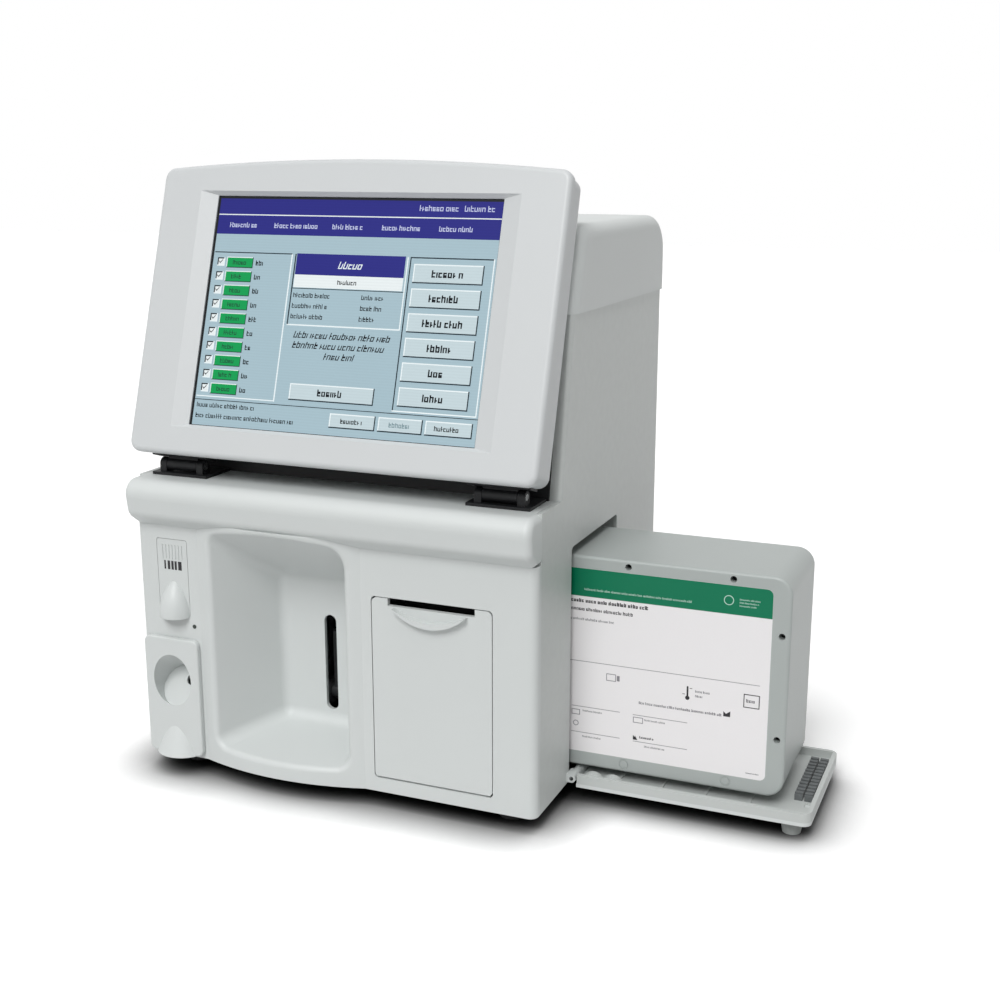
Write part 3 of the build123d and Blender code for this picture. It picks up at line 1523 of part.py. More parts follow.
def fan_rotor():
    """Hub and blades of the rear fan."""
    y = (REAR - WALL - FAN_T + 2 + RUN_GAP, REAR - WALL - 1)
    hub = rod_y(FAN_X, y, FAN_Z, FAN_HUB_R)
    blade = Pos(FAN_HUB_R + 7, 0, 0) * Rot(35, 0, 0) * Box(16, 1.2, 13)
    middle = (y[0] + y[1]) / 2
    blades = [
        Pos(FAN_X, middle, FAN_Z) * Rot(0, 360 / FAN_BLADES * i, 0) * blade for i in range(FAN_BLADES)
    ]
    bore = rod_y(FAN_X, (y[0] - 1, y[0] + 5), FAN_Z, 2 + SHAFT_GAP)
    return one(hub + blades - bore)


def power_inlet():
    """Power inlet with its three blades and the frame of the switch above it."""
    top = INLET_Z + ROCKER_ABOVE + ROCKER_H / 2 + 2
    low = INLET_Z - INLET_H / 2
    body = block(around(INLET_X, INLET_W / 2), (REAR - INLET_D, REAR), (low, top))
    flange = front_plate(around(INLET_X, INLET_W / 2 + 5), (REAR, REAR + 1.5), (low - 4, top + 4), 2)
    cavity = front_plate(
        around(INLET_X, INLET_W / 2 - 2), (REAR - INLET_D + 3, REAR + 2), around(INLET_Z, INLET_H / 2 - 2), 2
    )
    blades = [
        block(around(INLET_X + dx, 1), (REAR - INLET_D + 2, REAR - 4), around(INLET_Z + dz, 2))
        for dx, dz in ((-7, -2), (0, 3), (7, -2))
    ]
    seat = block(
        around(INLET_X, ROCKER_W / 2 + 0.4),
        (REAR - 14, REAR + 2),
        around(INLET_Z + ROCKER_ABOVE, ROCKER_H / 2 + 0.6),
    )
    pivot = rod_x(around(INLET_X, ROCKER_W / 2 + 3), REAR - 4, INLET_Z + ROCKER_ABOVE, 1.2)
    return one(body + flange - cavity + blades - seat - pivot)


def switch_rocker():
    """Rocker of the power switch, lying on its lower half."""
    z = INLET_Z + ROCKER_ABOVE
    half = ROCKER_H / 2
    rise = half * tan(radians(ROCKER_TILT))
    points = [(-4, -half + 1.2), (2 + rise, -half + 1.2), (2, 0), (2 + rise, half - 1.2), (-4, half - 1.2)]
    face = make_face(Polyline(*points, close=True))
    body = along_x(face, around(0, ROCKER_W / 2)) + rod_x(around(0, ROCKER_W / 2 + 2.6), 0, 0, 1.15)
    return one(Pos(INLET_X, REAR - 4, z) * Rot(ROCKER_TILT, 0, 0) * body)


NODES = (
    base_pan,
    feet,
    front_fascia,
    left_shell,
    right_shell,
    upper_front_panel,
    neck_cover,
    rear_panel,
    top_cap,
    case_screws,
    reader_cover,
    reader_window,
    indicator_lens,
    ampoule_drawer_front,
    ampoule_bin,
    drawer_runners,
    sampler_arm,
    sampler_needle,
    sampler_bracket,
    sampler_motor,
    printer_door,
    printer_chassis,
    printer_frame,
    print_head,
    platen_roller,
    printer_motor,
    motor_pinion,
    paper_roll,
    printer_rods,
    display_bezel,
    display_rear_housing,
    touch_glass,
    lcd_panel,
    display_board,
    display_arms,
    hinge_brackets,
    hinge_pins,
    cartridge_front_shell,
    cartridge_rear_shell,
    cartridge_label,
    cartridge_screws,
    reagent_pouches,
    cartridge_rails,
    drive_plate,
    pump_motor,
    pump_rotor,
    contact_block,
    side_door_panel,
    side_door_liner,
    side_door_pads,
    side_door_foot,
    side_door_pin,
    side_door_brackets,
    chassis_shelf,
    main_board,
    power_supply,
    fan_frame,
    fan_rotor,
    power_inlet,
    switch_rocker,
)


def main():
    """Build every sub-part and write it under its own name."""
    os.makedirs("parts", exist_ok=True)
    for build in NODES:
        shape = build()
        export_step(shape, f"parts/{build.__name__}.step")
        print(build.__name__, len(shape.solids()), round(shape.volume))


if __name__ == "__main__":
    main()
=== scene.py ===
"""Looks of the coagulation analyzer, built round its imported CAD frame.

The frame holds every rigid part at its real size and place. This script gives each of them its
finish and adds the pieces too thin for the CAD part: the picture on the screen, the print on the
cartridge label and the bars on the reader cover.
Sizes are millimetres in the row frame unless a name says otherwise, and meshes are in metres.
"""

import logging
import math
import random
from dataclasses import dataclass, field
from enum import Enum

import bmesh
import bpy
from mathutils import Matrix, Vector

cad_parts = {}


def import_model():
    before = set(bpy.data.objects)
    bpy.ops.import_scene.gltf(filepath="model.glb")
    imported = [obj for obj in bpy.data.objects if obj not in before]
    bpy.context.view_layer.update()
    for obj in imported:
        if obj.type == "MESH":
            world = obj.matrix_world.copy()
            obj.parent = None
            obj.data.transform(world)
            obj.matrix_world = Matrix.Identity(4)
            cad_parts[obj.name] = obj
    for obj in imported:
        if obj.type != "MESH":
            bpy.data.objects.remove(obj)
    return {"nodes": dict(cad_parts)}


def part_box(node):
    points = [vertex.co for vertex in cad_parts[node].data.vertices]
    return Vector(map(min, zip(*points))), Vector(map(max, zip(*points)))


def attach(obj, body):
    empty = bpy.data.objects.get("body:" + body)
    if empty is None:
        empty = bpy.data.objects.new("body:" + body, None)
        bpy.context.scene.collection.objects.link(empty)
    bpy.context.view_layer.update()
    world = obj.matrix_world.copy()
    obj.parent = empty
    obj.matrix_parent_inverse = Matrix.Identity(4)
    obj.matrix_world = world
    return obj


MM = 0.001
LOG = logging.getLogger("coagulation_analyzer")

# Sockets of the Mix node when it mixes colours: its two colours in, and the colour out.
MIX_FIRST = 6
MIX_SECOND = 7
MIX_RESULT = 2
# Sockets of the Mix node when it mixes numbers.
NUMBER_FIRST = 2
NUMBER_SECOND = 3
# The Wave texture's bands are this far apart at a scale of 1, in metres.
BAND_SPACING = 0.3142

# Height of each layer of the picture over the glass, from the ground up, in millimetres.
GROUND_LIFT = 0.05
PANEL_LIFT = 0.09
EDGE_LIFT = 0.13
TOP_LIFT = 0.17
# How far a button's edges stand over its face, in millimetres.
EDGE_STEP = 0.04
# Height of the print over the label or the cover, and of the pale marks over the label's band.
PRINT_LIFT = 0.005
BAND_MARK_LIFT = 0.04


def linear(colour: str, level: float = 1.0) -> tuple[float, float, float, float]:
    """Turns an sRGB hex colour into linear light.

    Args:
        colour: the colour as "#RRGGBB".
        level: how much lighter or darker the linear colour is made.

    Returns:
        Linear red, green and blue, each at most 1, and an alpha of 1.
    """
    shares = [int(colour[i : i + 2], 16) / 255 for i in (1, 3, 5)]
    curve = [s / 12.92 if s <= 0.04045 else ((s + 0.055) / 1.055) ** 2.4 for s in shares]
    return (*[min(1.0, c * level) for c in curve], 1.0)


def add_node(
    tree: bpy.types.NodeTree, kind: str, settings: dict | None = None, links: dict | None = None
) -> bpy.types.Node:
    """Adds one node with its settings and its links.

    Args:
        tree: the material's or the world's node tree.
        kind: the node's class name in Blender.
        settings: values by socket name, socket number or node attribute.
        links: the output sockets that feed it, by its own socket name or number.

    Returns:
        The new node.
    """
    node = tree.nodes.new(kind)
    for name, value in (settings or {}).items():
        if isinstance(name, int) or name in node.inputs.keys():
            node.inputs[name].default_value = value
        else:
            setattr(node, name, value)
    for name, source in (links or {}).items():
        tree.links.new(source, node.inputs[name])
    return node


@dataclass(frozen=True)
class Finish:
    """One real material with its surface.

    The name says both. A kind of finish adds its own nodes in detail().
    """

    name: str
    colour: str
    roughness: float
    ior: float = 1.5
    metallic: float = 0.0
    gloss: float = 0.5

    def material(self) -> bpy.types.Material:
        """Returns the Blender material of this finish, built on first use."""
        return bpy.data.materials.get(self.name) or self.build()

    def build(self) -> bpy.types.Material:
        """Builds the material from a Principled shader and the finish's own nodes.

        Returns:
            The new material.
        """
        material = bpy.data.materials.new(self.name)
        material.use_nodes = True
        material.diffuse_color = linear(self.colour)
        tree = material.node_tree
        tree.nodes.clear()
        settings = {
            "Base Color": linear(self.colour),
            "Roughness": self.roughness,
            "IOR": self.ior,
            "Metallic": self.metallic,
            "Specular IOR Level": self.gloss,
        }
        shader = add_node(tree, "ShaderNodeBsdfPrincipled", settings)
        add_node(tree, "ShaderNodeOutputMaterial", links={"Surface": shader.outputs["BSDF"]})
        self.detail(tree, shader)
        return material

    def detail(self, tree: bpy.types.NodeTree, shader: bpy.types.Node) -> None:
        """Adds nothing to a plain finish.

        Args:
            tree: the material's node tree.
            shader: its Principled shader.
        """

    def noise(
        self,
        tree: bpy.types.NodeTree,
        size_mm: float,
        stretch: tuple[float, float, float] = (1, 1, 1),
        detail: float = 2.0,
    ) -> bpy.types.NodeSocket:
        """Adds a noise pattern of a real size, laid out in the row frame.

        Args:
            tree: the material's node tree.
            size_mm: width of one grain.
            stretch: how many times longer a grain is along X, Y and Z.
            detail: how much finer noise lies on it.

        Returns:
            The pattern's output socket, from 0 to 1.
        """
        place = add_node(tree, "ShaderNodeTexCoord")
        scale = tuple(1 / s for s in stretch)
        mapping = add_node(
            tree, "ShaderNodeMapping", {"Scale": scale}, {"Vector": place.outputs["Object"]}
        )
        settings = {"Scale": 1 / (size_mm * MM), "Detail": detail, "Roughness": 0.5}
        pattern = add_node(
            tree, "ShaderNodeTexNoise", settings, {"Vector": mapping.outputs["Vector"]}
        )
        return pattern.outputs["Fac"]

    def raise_grain(
        self,
        tree: bpy.types.NodeTree,
        shader: bpy.types.Node,
        height: bpy.types.NodeSocket,
        depth_mm: float,
    ) -> None:
        """Lets a pattern stand out of the surface as fine relief.

        Args:
            tree: the material's node tree.
            shader: its Principled shader.
            height: the pattern's output socket.
            depth_mm: how far it stands out.
        """
        bump = add_node(
            tree, "ShaderNodeBump", {"Strength": 1.0, "Distance": depth_mm * MM}, {"Height": height}
        )
        tree.links.new(bump.outputs["Normal"], shader.inputs["Normal"])

    def vary_tone(
        self,
        tree: bpy.types.NodeTree,
        shader: bpy.types.Node,
        pattern: bpy.types.NodeSocket,
        share: float,
    ) -> None:
        """Makes the colour a little darker and lighter by a pattern.

        Args:
            tree: the material's node tree.
            shader: its Principled shader.
            pattern: the pattern's output socket.
            share: how far the colour goes each way, as a share of it.
        """
        settings = {
            "data_type": "RGBA",
            MIX_FIRST: linear(self.colour, 1 - share),
            MIX_SECOND: linear(self.colour, 1 + share),
        }
        mix = add_node(tree, "ShaderNodeMix", settings, {0: pattern})
        tree.links.new(mix.outputs[MIX_RESULT], shader.inputs["Base Color"])

    def vary_roughness(
        self,
        tree: bpy.types.NodeTree,
        shader: bpy.types.Node,
        pattern: bpy.types.NodeSocket,
        spread: float,
    ) -> None:
        """Makes the surface a little glossier and duller by a pattern.

        Args:
            tree: the material's node tree.
            shader: its Principled shader.
            pattern: the pattern's output socket.
            spread: how far the roughness goes each way.
        """
        settings = {"To Min": self.roughness - spread, "To Max": self.roughness + spread}
        spread_node = add_node(tree, "ShaderNodeMapRange", settings, {"Value": pattern})
        tree.links.new(spread_node.outputs["Result"], shader.inputs["Roughness"])


@dataclass(frozen=True)
class MouldedPlastic(Finish):
    """Plastic from a textured mould: a dull, even skin with a very fine pebbled grain."""

    ior: float = 1.54
    grain_mm: float = 0.9
    depth_mm: float = 0.018
    tone_mm: float = 45.0
    tone_share: float = 0.012

    def detail(self, tree: bpy.types.NodeTree, shader: bpy.types.Node) -> None:
        """Adds the mould's grain and a faint change of tone over the part.

        Args:
            tree: the material's node tree.
            shader: its Principled shader.
        """
        # A mould's real grain is about 0.1 mm; it is drawn coarser, so that the render shows it.
        grain = self.noise(tree, self.grain_mm, detail=3.0)
        self.raise_grain(tree, shader, grain, self.depth_mm)
        self.vary_tone(tree, shader, self.noise(tree, self.tone_mm), self.tone_share)
        self.vary_roughness(tree, shader, grain, 0.04)


@dataclass(frozen=True)
class PowderCoat(Finish):
    """Powder-coated sheet steel: satin paint with the low, rounded waves of orange peel."""

    ior: float = 1.5
    peel_mm: float = 1.8
    depth_mm: float = 0.05
    mottle_mm: float = 6.0

    def detail(self, tree: bpy.types.NodeTree, shader: bpy.types.Node) -> None:
        """Adds the orange peel and the mottled tone of the sprayed powder.

        Args:
            tree: the material's node tree.
            shader: its Principled shader.
        """
        place = add_node(tree, "ShaderNodeTexCoord")
        settings = {"feature": "SMOOTH_F1", "Scale": 1 / (self.peel_mm * MM), "Smoothness": 0.6}
        peel = add_node(
            tree, "ShaderNodeTexVoronoi", settings, {"Vector": place.outputs["Object"]}
        )
        self.raise_grain(tree, shader, peel.outputs["Distance"], self.depth_mm)
        self.vary_tone(tree, shader, self.noise(tree, self.mottle_mm, detail=3.0), 0.045)


@dataclass(frozen=True)
class LinedMetal(Finish):
    """Metal with fine lines one way, left by rolling, brushing or grinding."""

    metallic: float = 1.0
    line_mm: float = 0.35
    stretch: tuple[float, float, float] = (60.0, 1.0, 1.0)
    depth_mm: float = 0.006

    def detail(self, tree: bpy.types.NodeTree, shader: bpy.types.Node) -> None:
        """Adds the lines in relief, in gloss and faintly in tone.

        Args:
            tree: the material's node tree.
            shader: its Principled shader.
        """
        lines = self.noise(tree, self.line_mm, self.stretch)
        self.raise_grain(tree, shader, lines, self.depth_mm)
        self.vary_tone(tree, shader, lines, 0.05)
        self.vary_roughness(tree, shader, lines, 0.08)


@dataclass(frozen=True)
class MouldedRubber(Finish):
    """Moulded rubber: dark and matt, with a dusty bloom in patches."""

    ior: float = 1.52
    bloom_mm: float = 6.0

    def detail(self, tree: bpy.types.NodeTree, shader: bpy.types.Node) -> None:
        """Adds the bloom and a fine grain.

        Args:
            tree: the material's node tree.
            shader: its Principled shader.
        """
        shader.inputs["Sheen Weight"].default_value = 0.15
        shader.inputs["Sheen Roughness"].default_value = 0.6
        self.vary_tone(tree, shader, self.noise(tree, self.bloom_mm), 0.25)
        self.raise_grain(tree, shader, self.noise(tree, 0.7, detail=3.0), 0.02)


@dataclass(frozen=True)
class ClearPane(Finish):
    """Clear or tinted glass or plastic, polished both sides."""

    ior: float = 1.52
    see_through: float = 1.0

    def detail(self, tree: bpy.types.NodeTree, shader: bpy.types.Node) -> None:
        """Lets light through and adds the faint waviness of a pressed pane.

        Args:
            tree: the material's node tree.
            shader: its Principled shader.
        """
        shader.inputs["Transmission Weight"].default_value = self.see_through
        self.raise_grain(tree, shader, self.noise(tree, 30.0, detail=0.0), 0.003)


@dataclass(frozen=True)
class LitPicture(Finish):
    """A colour of the lit screen: it glows softly behind the pane's gloss.

    The dot rows of the panel are 0.26 mm apart, and are drawn 1.8 mm apart to show at all.
    """

    roughness: float = 0.4
    gloss: float = 0.12
    glow: float = 0.55
    row_mm: float = 1.8

    def detail(self, tree: bpy.types.NodeTree, shader: bpy.types.Node) -> None:
        """Adds the glow, the faint dot rows and a slow change of brightness.

        Args:
            tree: the material's node tree.
            shader: its Principled shader.
        """
        place = add_node(tree, "ShaderNodeTexCoord")
        settings = {
            "wave_type": "BANDS",
            "bands_direction": "Z",
            "Scale": BAND_SPACING / (self.row_mm * MM),
        }
        rows = add_node(tree, "ShaderNodeTexWave", settings, {"Vector": place.outputs["Object"]})
        drift = self.noise(tree, 55.0, detail=0.0)
        links = {NUMBER_FIRST: rows.outputs["Fac"], NUMBER_SECOND: drift}
        blend = add_node(tree, "ShaderNodeMix", {"Factor": 0.5}, links)
        settings = {
            "data_type": "RGBA",
            MIX_FIRST: linear(self.colour, 0.96),
            MIX_SECOND: linear(self.colour, 1.04),
        }
        tint = add_node(tree, "ShaderNodeMix", settings, {0: blend.outputs["Result"]})
        settings = {
            "data_type": "RGBA",
            "Factor": 1 - self.glow,
            MIX_FIRST: (0.0, 0.0, 0.0, 1.0),
        }
        dark = add_node(
            tree, "ShaderNodeMix", settings, {MIX_SECOND: tint.outputs[MIX_RESULT]}
        )
        tree.links.new(dark.outputs[MIX_RESULT], shader.inputs["Base Color"])
        tree.links.new(tint.outputs[MIX_RESULT], shader.inputs["Emission Color"])
        shader.inputs["Emission Strength"].default_value = self.glow


@dataclass(frozen=True)
class LaminatedPrint(Finish):
    """Ink or paper under clear film: flat colour with a soft gloss and the film's faint ripple."""

    roughness: float = 0.36
    gloss: float = 0.25
    ripple_mm: float = 14.0

    def detail(self, tree: bpy.types.NodeTree, shader: bpy.types.Node) -> None:
        """Adds the ripple of the film and the fleck of the paper.

        Args:
            tree: the material's node tree.
            shader: its Principled shader.
        """
        self.raise_grain(tree, shader, self.noise(tree, self.ripple_mm), 0.03)
        self.vary_tone(tree, shader, self.noise(tree, 1.2, detail=3.0), 0.015)


@dataclass(frozen=True)
class ThermalPaper(Finish):
    """Coated paper: white, smooth, with a silky gloss and short fibres."""

    fibre_mm: float = 0.6

    def detail(self, tree: bpy.types.NodeTree, shader: bpy.types.Node) -> None:
        """Adds the fibres in tone and relief.

        Args:
            tree: the material's node tree.
            shader: its Principled shader.
        """
        fibres = self.noise(tree, self.fibre_mm, (5.0, 1.0, 1.0), 3.0)
        self.vary_tone(tree, shader, fibres, 0.02)
        self.raise_grain(tree, shader, fibres, 0.01)


@dataclass(frozen=True)
class SolderMask(Finish):
    """Printed circuit board: green lacquer with the paler copper tracks under it."""

    track_mm: float = 2.5

    def detail(self, tree: bpy.types.NodeTree, shader: bpy.types.Node) -> None:
        """Adds the tracks in tone and relief.

        Args:
            tree: the material's node tree.
            shader: its Principled shader.
        """
        place = add_node(tree, "ShaderNodeTexCoord")
        settings = {
            "Scale": 1 / (self.track_mm * MM * 8),
            "Mortar Size": 0.06,
            "Color1": linear(self.colour),
            "Color2": linear(self.colour, 1.15),
            "Mortar": linear("#3F8A55"),
        }
        tracks = add_node(
            tree, "ShaderNodeTexBrick", settings, {"Vector": place.outputs["Object"]}
        )
        tree.links.new(tracks.outputs["Color"], shader.inputs["Base Color"])
        self.raise_grain(tree, shader, tracks.outputs["Fac"], 0.03)


@dataclass(frozen=True)
class FittedBoard(SolderMask):
    """Level circuit board with its parts: black chips on it, and bright port shells at the rear.

    The board and its parts are one CAD node, so height and depth tell them apart, in millimetres.
    """

    top_mm: float = 188.3
    ports_from_mm: float = 115.0
    chip_colour: str = "#1A1B1D"
    shell_colour: str = "#B4B7B9"

    def detail(self, tree: bpy.types.NodeTree, shader: bpy.types.Node) -> None:
        """Adds the tracks, and tells the parts from the board by their height.

        Args:
            tree: the material's node tree.
            shader: its Principled shader.
        """
        super().detail(tree, shader)
        lacquer = shader.inputs["Base Color"].links[0].from_socket
        place = add_node(tree, "ShaderNodeTexCoord")
        axes = add_node(
            tree, "ShaderNodeSeparateXYZ", links={"Vector": place.outputs["Object"]}
        )
        settings = {"operation": "GREATER_THAN", 1: self.top_mm * MM}
        part = add_node(tree, "ShaderNodeMath", settings, {0: axes.outputs["Z"]})
        settings = {"operation": "GREATER_THAN", 1: self.ports_from_mm * MM}
        rear = add_node(tree, "ShaderNodeMath", settings, {0: axes.outputs["Y"]})
        settings = {
            "data_type": "RGBA",
            MIX_FIRST: linear(self.chip_colour),
            MIX_SECOND: linear(self.shell_colour),
        }
        parts = add_node(tree, "ShaderNodeMix", settings, {0: rear.outputs[0]})
        links = {0: part.outputs[0], MIX_FIRST: lacquer, MIX_SECOND: parts.outputs[MIX_RESULT]}
        colour = add_node(tree, "ShaderNodeMix", {"data_type": "RGBA"}, links)
        tree.links.new(colour.outputs[MIX_RESULT], shader.inputs["Base Color"])
        bright = add_node(
            tree,
            "ShaderNodeMath",
            {"operation": "MULTIPLY"},
            {0: part.outputs[0], 1: rear.outputs[0]},
        )
        tree.links.new(bright.outputs[0], shader.inputs["Metallic"])


# Injection-moulded ABS of the front moulding and the cap: light cool grey, dull and even.
CASE_PLASTIC = MouldedPlastic("abs_moulded_light_grey", "#CDD1D0", 0.46)
# Injection-moulded ABS of the display: the same grey, a shade cooler and a little smoother.
BEZEL_PLASTIC = MouldedPlastic("abs_moulded_display_grey", "#C8CBCC", 0.42)
# Powder-coated steel of the side and rear covers: the case's grey, with satin orange peel.
COVER_PAINT = PowderCoat("steel_powder_coated_grey", "#C6CAC8", 0.45)
# Injection-moulded polypropylene of the cartridge: a darker, slightly waxy grey.
CARTRIDGE_PLASTIC = MouldedPlastic(
    "polypropylene_moulded_grey", "#A6ACAA", 0.4, ior=1.49, grain_mm=1.2, depth_mm=0.012
)
# Moulded ABS of the side door's liner: grey between the case's and the cartridge's.
LINER_PLASTIC = MouldedPlastic("abs_moulded_mid_grey", "#BCC0BE", 0.48)
# Moulded black ABS of the neck, brackets and frames: near black, with a soft sheen.
BLACK_PLASTIC = MouldedPlastic("abs_moulded_black", "#151618", 0.5, gloss=0.3)
# Moulded glass-filled nylon of motors and blocks: dark grey and dull.
DARK_PLASTIC = MouldedPlastic(
    "nylon_moulded_dark_grey", "#3C3E40", 0.55, ior=1.53, grain_mm=1.2, depth_mm=0.03
)
# Moulded acetal gears and rotor: white, smooth and a little glossy.
GEAR_PLASTIC = MouldedPlastic(
    "acetal_moulded_white", "#E4E2DA", 0.3, ior=1.48, grain_mm=1.5, depth_mm=0.006
)
# Moulded rubber of the feet and the platen: black and matt.
FOOT_RUBBER = MouldedRubber("rubber_moulded_black", "#232323", 0.8)
# Moulded ribbed rubber of the door's pads: dark grey and matt.
PAD_RUBBER = MouldedRubber("rubber_moulded_dark_grey", "#5A5E5F", 0.75)
# Moulded pale rubber of the side door's foot: mid grey and matt.
PALE_RUBBER = MouldedRubber("rubber_moulded_mid_grey", "#8C908E", 0.75)
# Zinc-plated rolled steel of pans, brackets and the power supply: cool, half dull, rolled lines.
ZINC_STEEL = LinedMetal("steel_zinc_plated_rolled", "#A9ABAC", 0.38)
# Ground steel of pins, shafts and the needle: bright, with fine rings round them.
GROUND_STEEL = LinedMetal("steel_ground_bright", "#B9BABB", 0.18, line_mm=0.25, stretch=(1, 12, 12))
# Mill-finish aluminium of the drive plate and the panel's frame: pale, soft lines.
MILL_ALUMINIUM = LinedMetal("aluminium_rolled_mill_finish", "#C2C4C6", 0.32)
# Blackened steel of the cartridge's sunk screws: dark, with a dull shine.
BLACK_STEEL = LinedMetal("steel_blackened_turned", "#202122", 0.45, line_mm=0.4, stretch=(1, 1, 1))
# Polished soda-lime glass over the panel: clear, with sharp reflections.
TOUCH_GLASS = ClearPane("glass_polished_clear", "#E8F0F0", 0.03)
# Dark red filter of the scanner window: polished acrylic.
SCAN_WINDOW = ClearPane("acrylic_polished_dark_red", "#4A0A0C", 0.06, ior=1.49, see_through=0.6)
# Small clear-grey lens of the indicator: polished acrylic, unlit.
INDICATOR_LENS = ClearPane("acrylic_polished_smoke", "#3A433E", 0.12, ior=1.49, see_through=0.25)
# Painted shade: a near-black sheet under the picture that stands for the shadow in the gap between
# the bezel and the lit panel, wider at the left and top.
GAP_SHADE_SHEET = MouldedPlastic(
    "painted_gap_shade_black", "#16191C", 0.4, gloss=0.15, grain_mm=3.0, depth_mm=0.004
)
# Label stock of the cartridge: white paper under film.
LABEL_STOCK = LaminatedPrint("label_paper_laminated_white", "#EAE8E9")
# Film pouches of reagent: pale, slack and glossy.
POUCH_FILM = LaminatedPrint(
    "polyethylene_film_blown_pale", "#C9D2D6", 0.22, gloss=0.5, ripple_mm=9.0
)
# Coated thermal paper of the roll: white, smooth and silky.
PRINTER_PAPER = ThermalPaper("paper_thermal_coated_white", "#EDEBE6", 0.5)
# Solder mask of the display's circuit board: green lacquer over paler tracks.
BOARD_LACQUER = SolderMask("board_solder_mask_green", "#15603A", 0.35)
# Solder mask of the main board, with moulded black chips and stamped tinned port shells on it.
BOARD_WITH_PARTS = FittedBoard("board_solder_mask_fitted_green", "#15603A", 0.35)


class Ink(Enum):
    """Colours of the screen's picture and of the print on the cartridge and the reader."""

    GROUND = "#A5BDC7"
    NAVY = "#2B2C80"
    GREEN = "#149A52"
    BUTTON = "#C3D3D8"
    PALE_ROW = "#E6EDEE"
    LIGHT_EDGE = "#E9F2F4"
    DARK_EDGE = "#1C2A33"
    TEXT = "#10161B"
    FAINT_TEXT = "#7F979E"
    HEADER_TEXT = "#C4CAE8"
    BORDER = "#14171A"
    BAND = "#00714F"
    BAND_MARK = "#BFDDD1"
    PRINT_DARK = "#2E2D30"
    PRINT_MID = "#87858A"

    def lit(self) -> LitPicture:
        """Returns this colour as part of the lit screen."""
        return LitPicture(f"screen_lit_{self.name.lower()}", self.value)

    def printed(self) -> LaminatedPrint:
        """Returns this colour as ink under the label's film."""
        return LaminatedPrint(f"ink_laminated_{self.name.lower()}", self.value)


@dataclass(frozen=True)
class FlatPlace:
    """A flat surface that thin pieces lie on, measured from its top left corner."""

    corner: Vector
    across: Vector
    down: Vector
    out: Vector

    def point(self, u: float, v: float, lift: float) -> Vector:
        """Finds a point of the surface.

        Args:
            u: millimetres to the right of the corner.
            v: millimetres down from the corner.
            lift: millimetres out of the surface.

        Returns:
            The point in the row frame, in metres.
        """
        return self.corner + (self.across * u + self.down * v + self.out * lift) * MM


class Part(Enum):
    """The strokes that the shapes of small print are made of."""

    LEFT = 1
    RIGHT = 2
    TOP = 3
    MIDDLE = 4
    BOTTOM = 5


@dataclass(frozen=True)
class Glyph:
    """A plain shape that stands for a letter too small to read.

    Its width is a share of the small letters' height.
    """

    width: float
    parts: tuple[Part, ...]


class Shape(Enum):
    """The plain shapes that a line of small print is gathered from."""

    RING = Glyph(0.85, (Part.LEFT, Part.RIGHT, Part.TOP, Part.BOTTOM))
    ARCH = Glyph(0.85, (Part.LEFT, Part.RIGHT, Part.TOP))
    CUP = Glyph(0.85, (Part.LEFT, Part.RIGHT, Part.BOTTOM))
    HOOK = Glyph(0.75, (Part.LEFT, Part.TOP, Part.BOTTOM))
    COMB = Glyph(0.75, (Part.LEFT, Part.TOP, Part.MIDDLE, Part.BOTTOM))
    STEM = Glyph(0.24, (Part.LEFT,))
    CROSS = Glyph(0.5, (Part.LEFT, Part.MIDDLE))


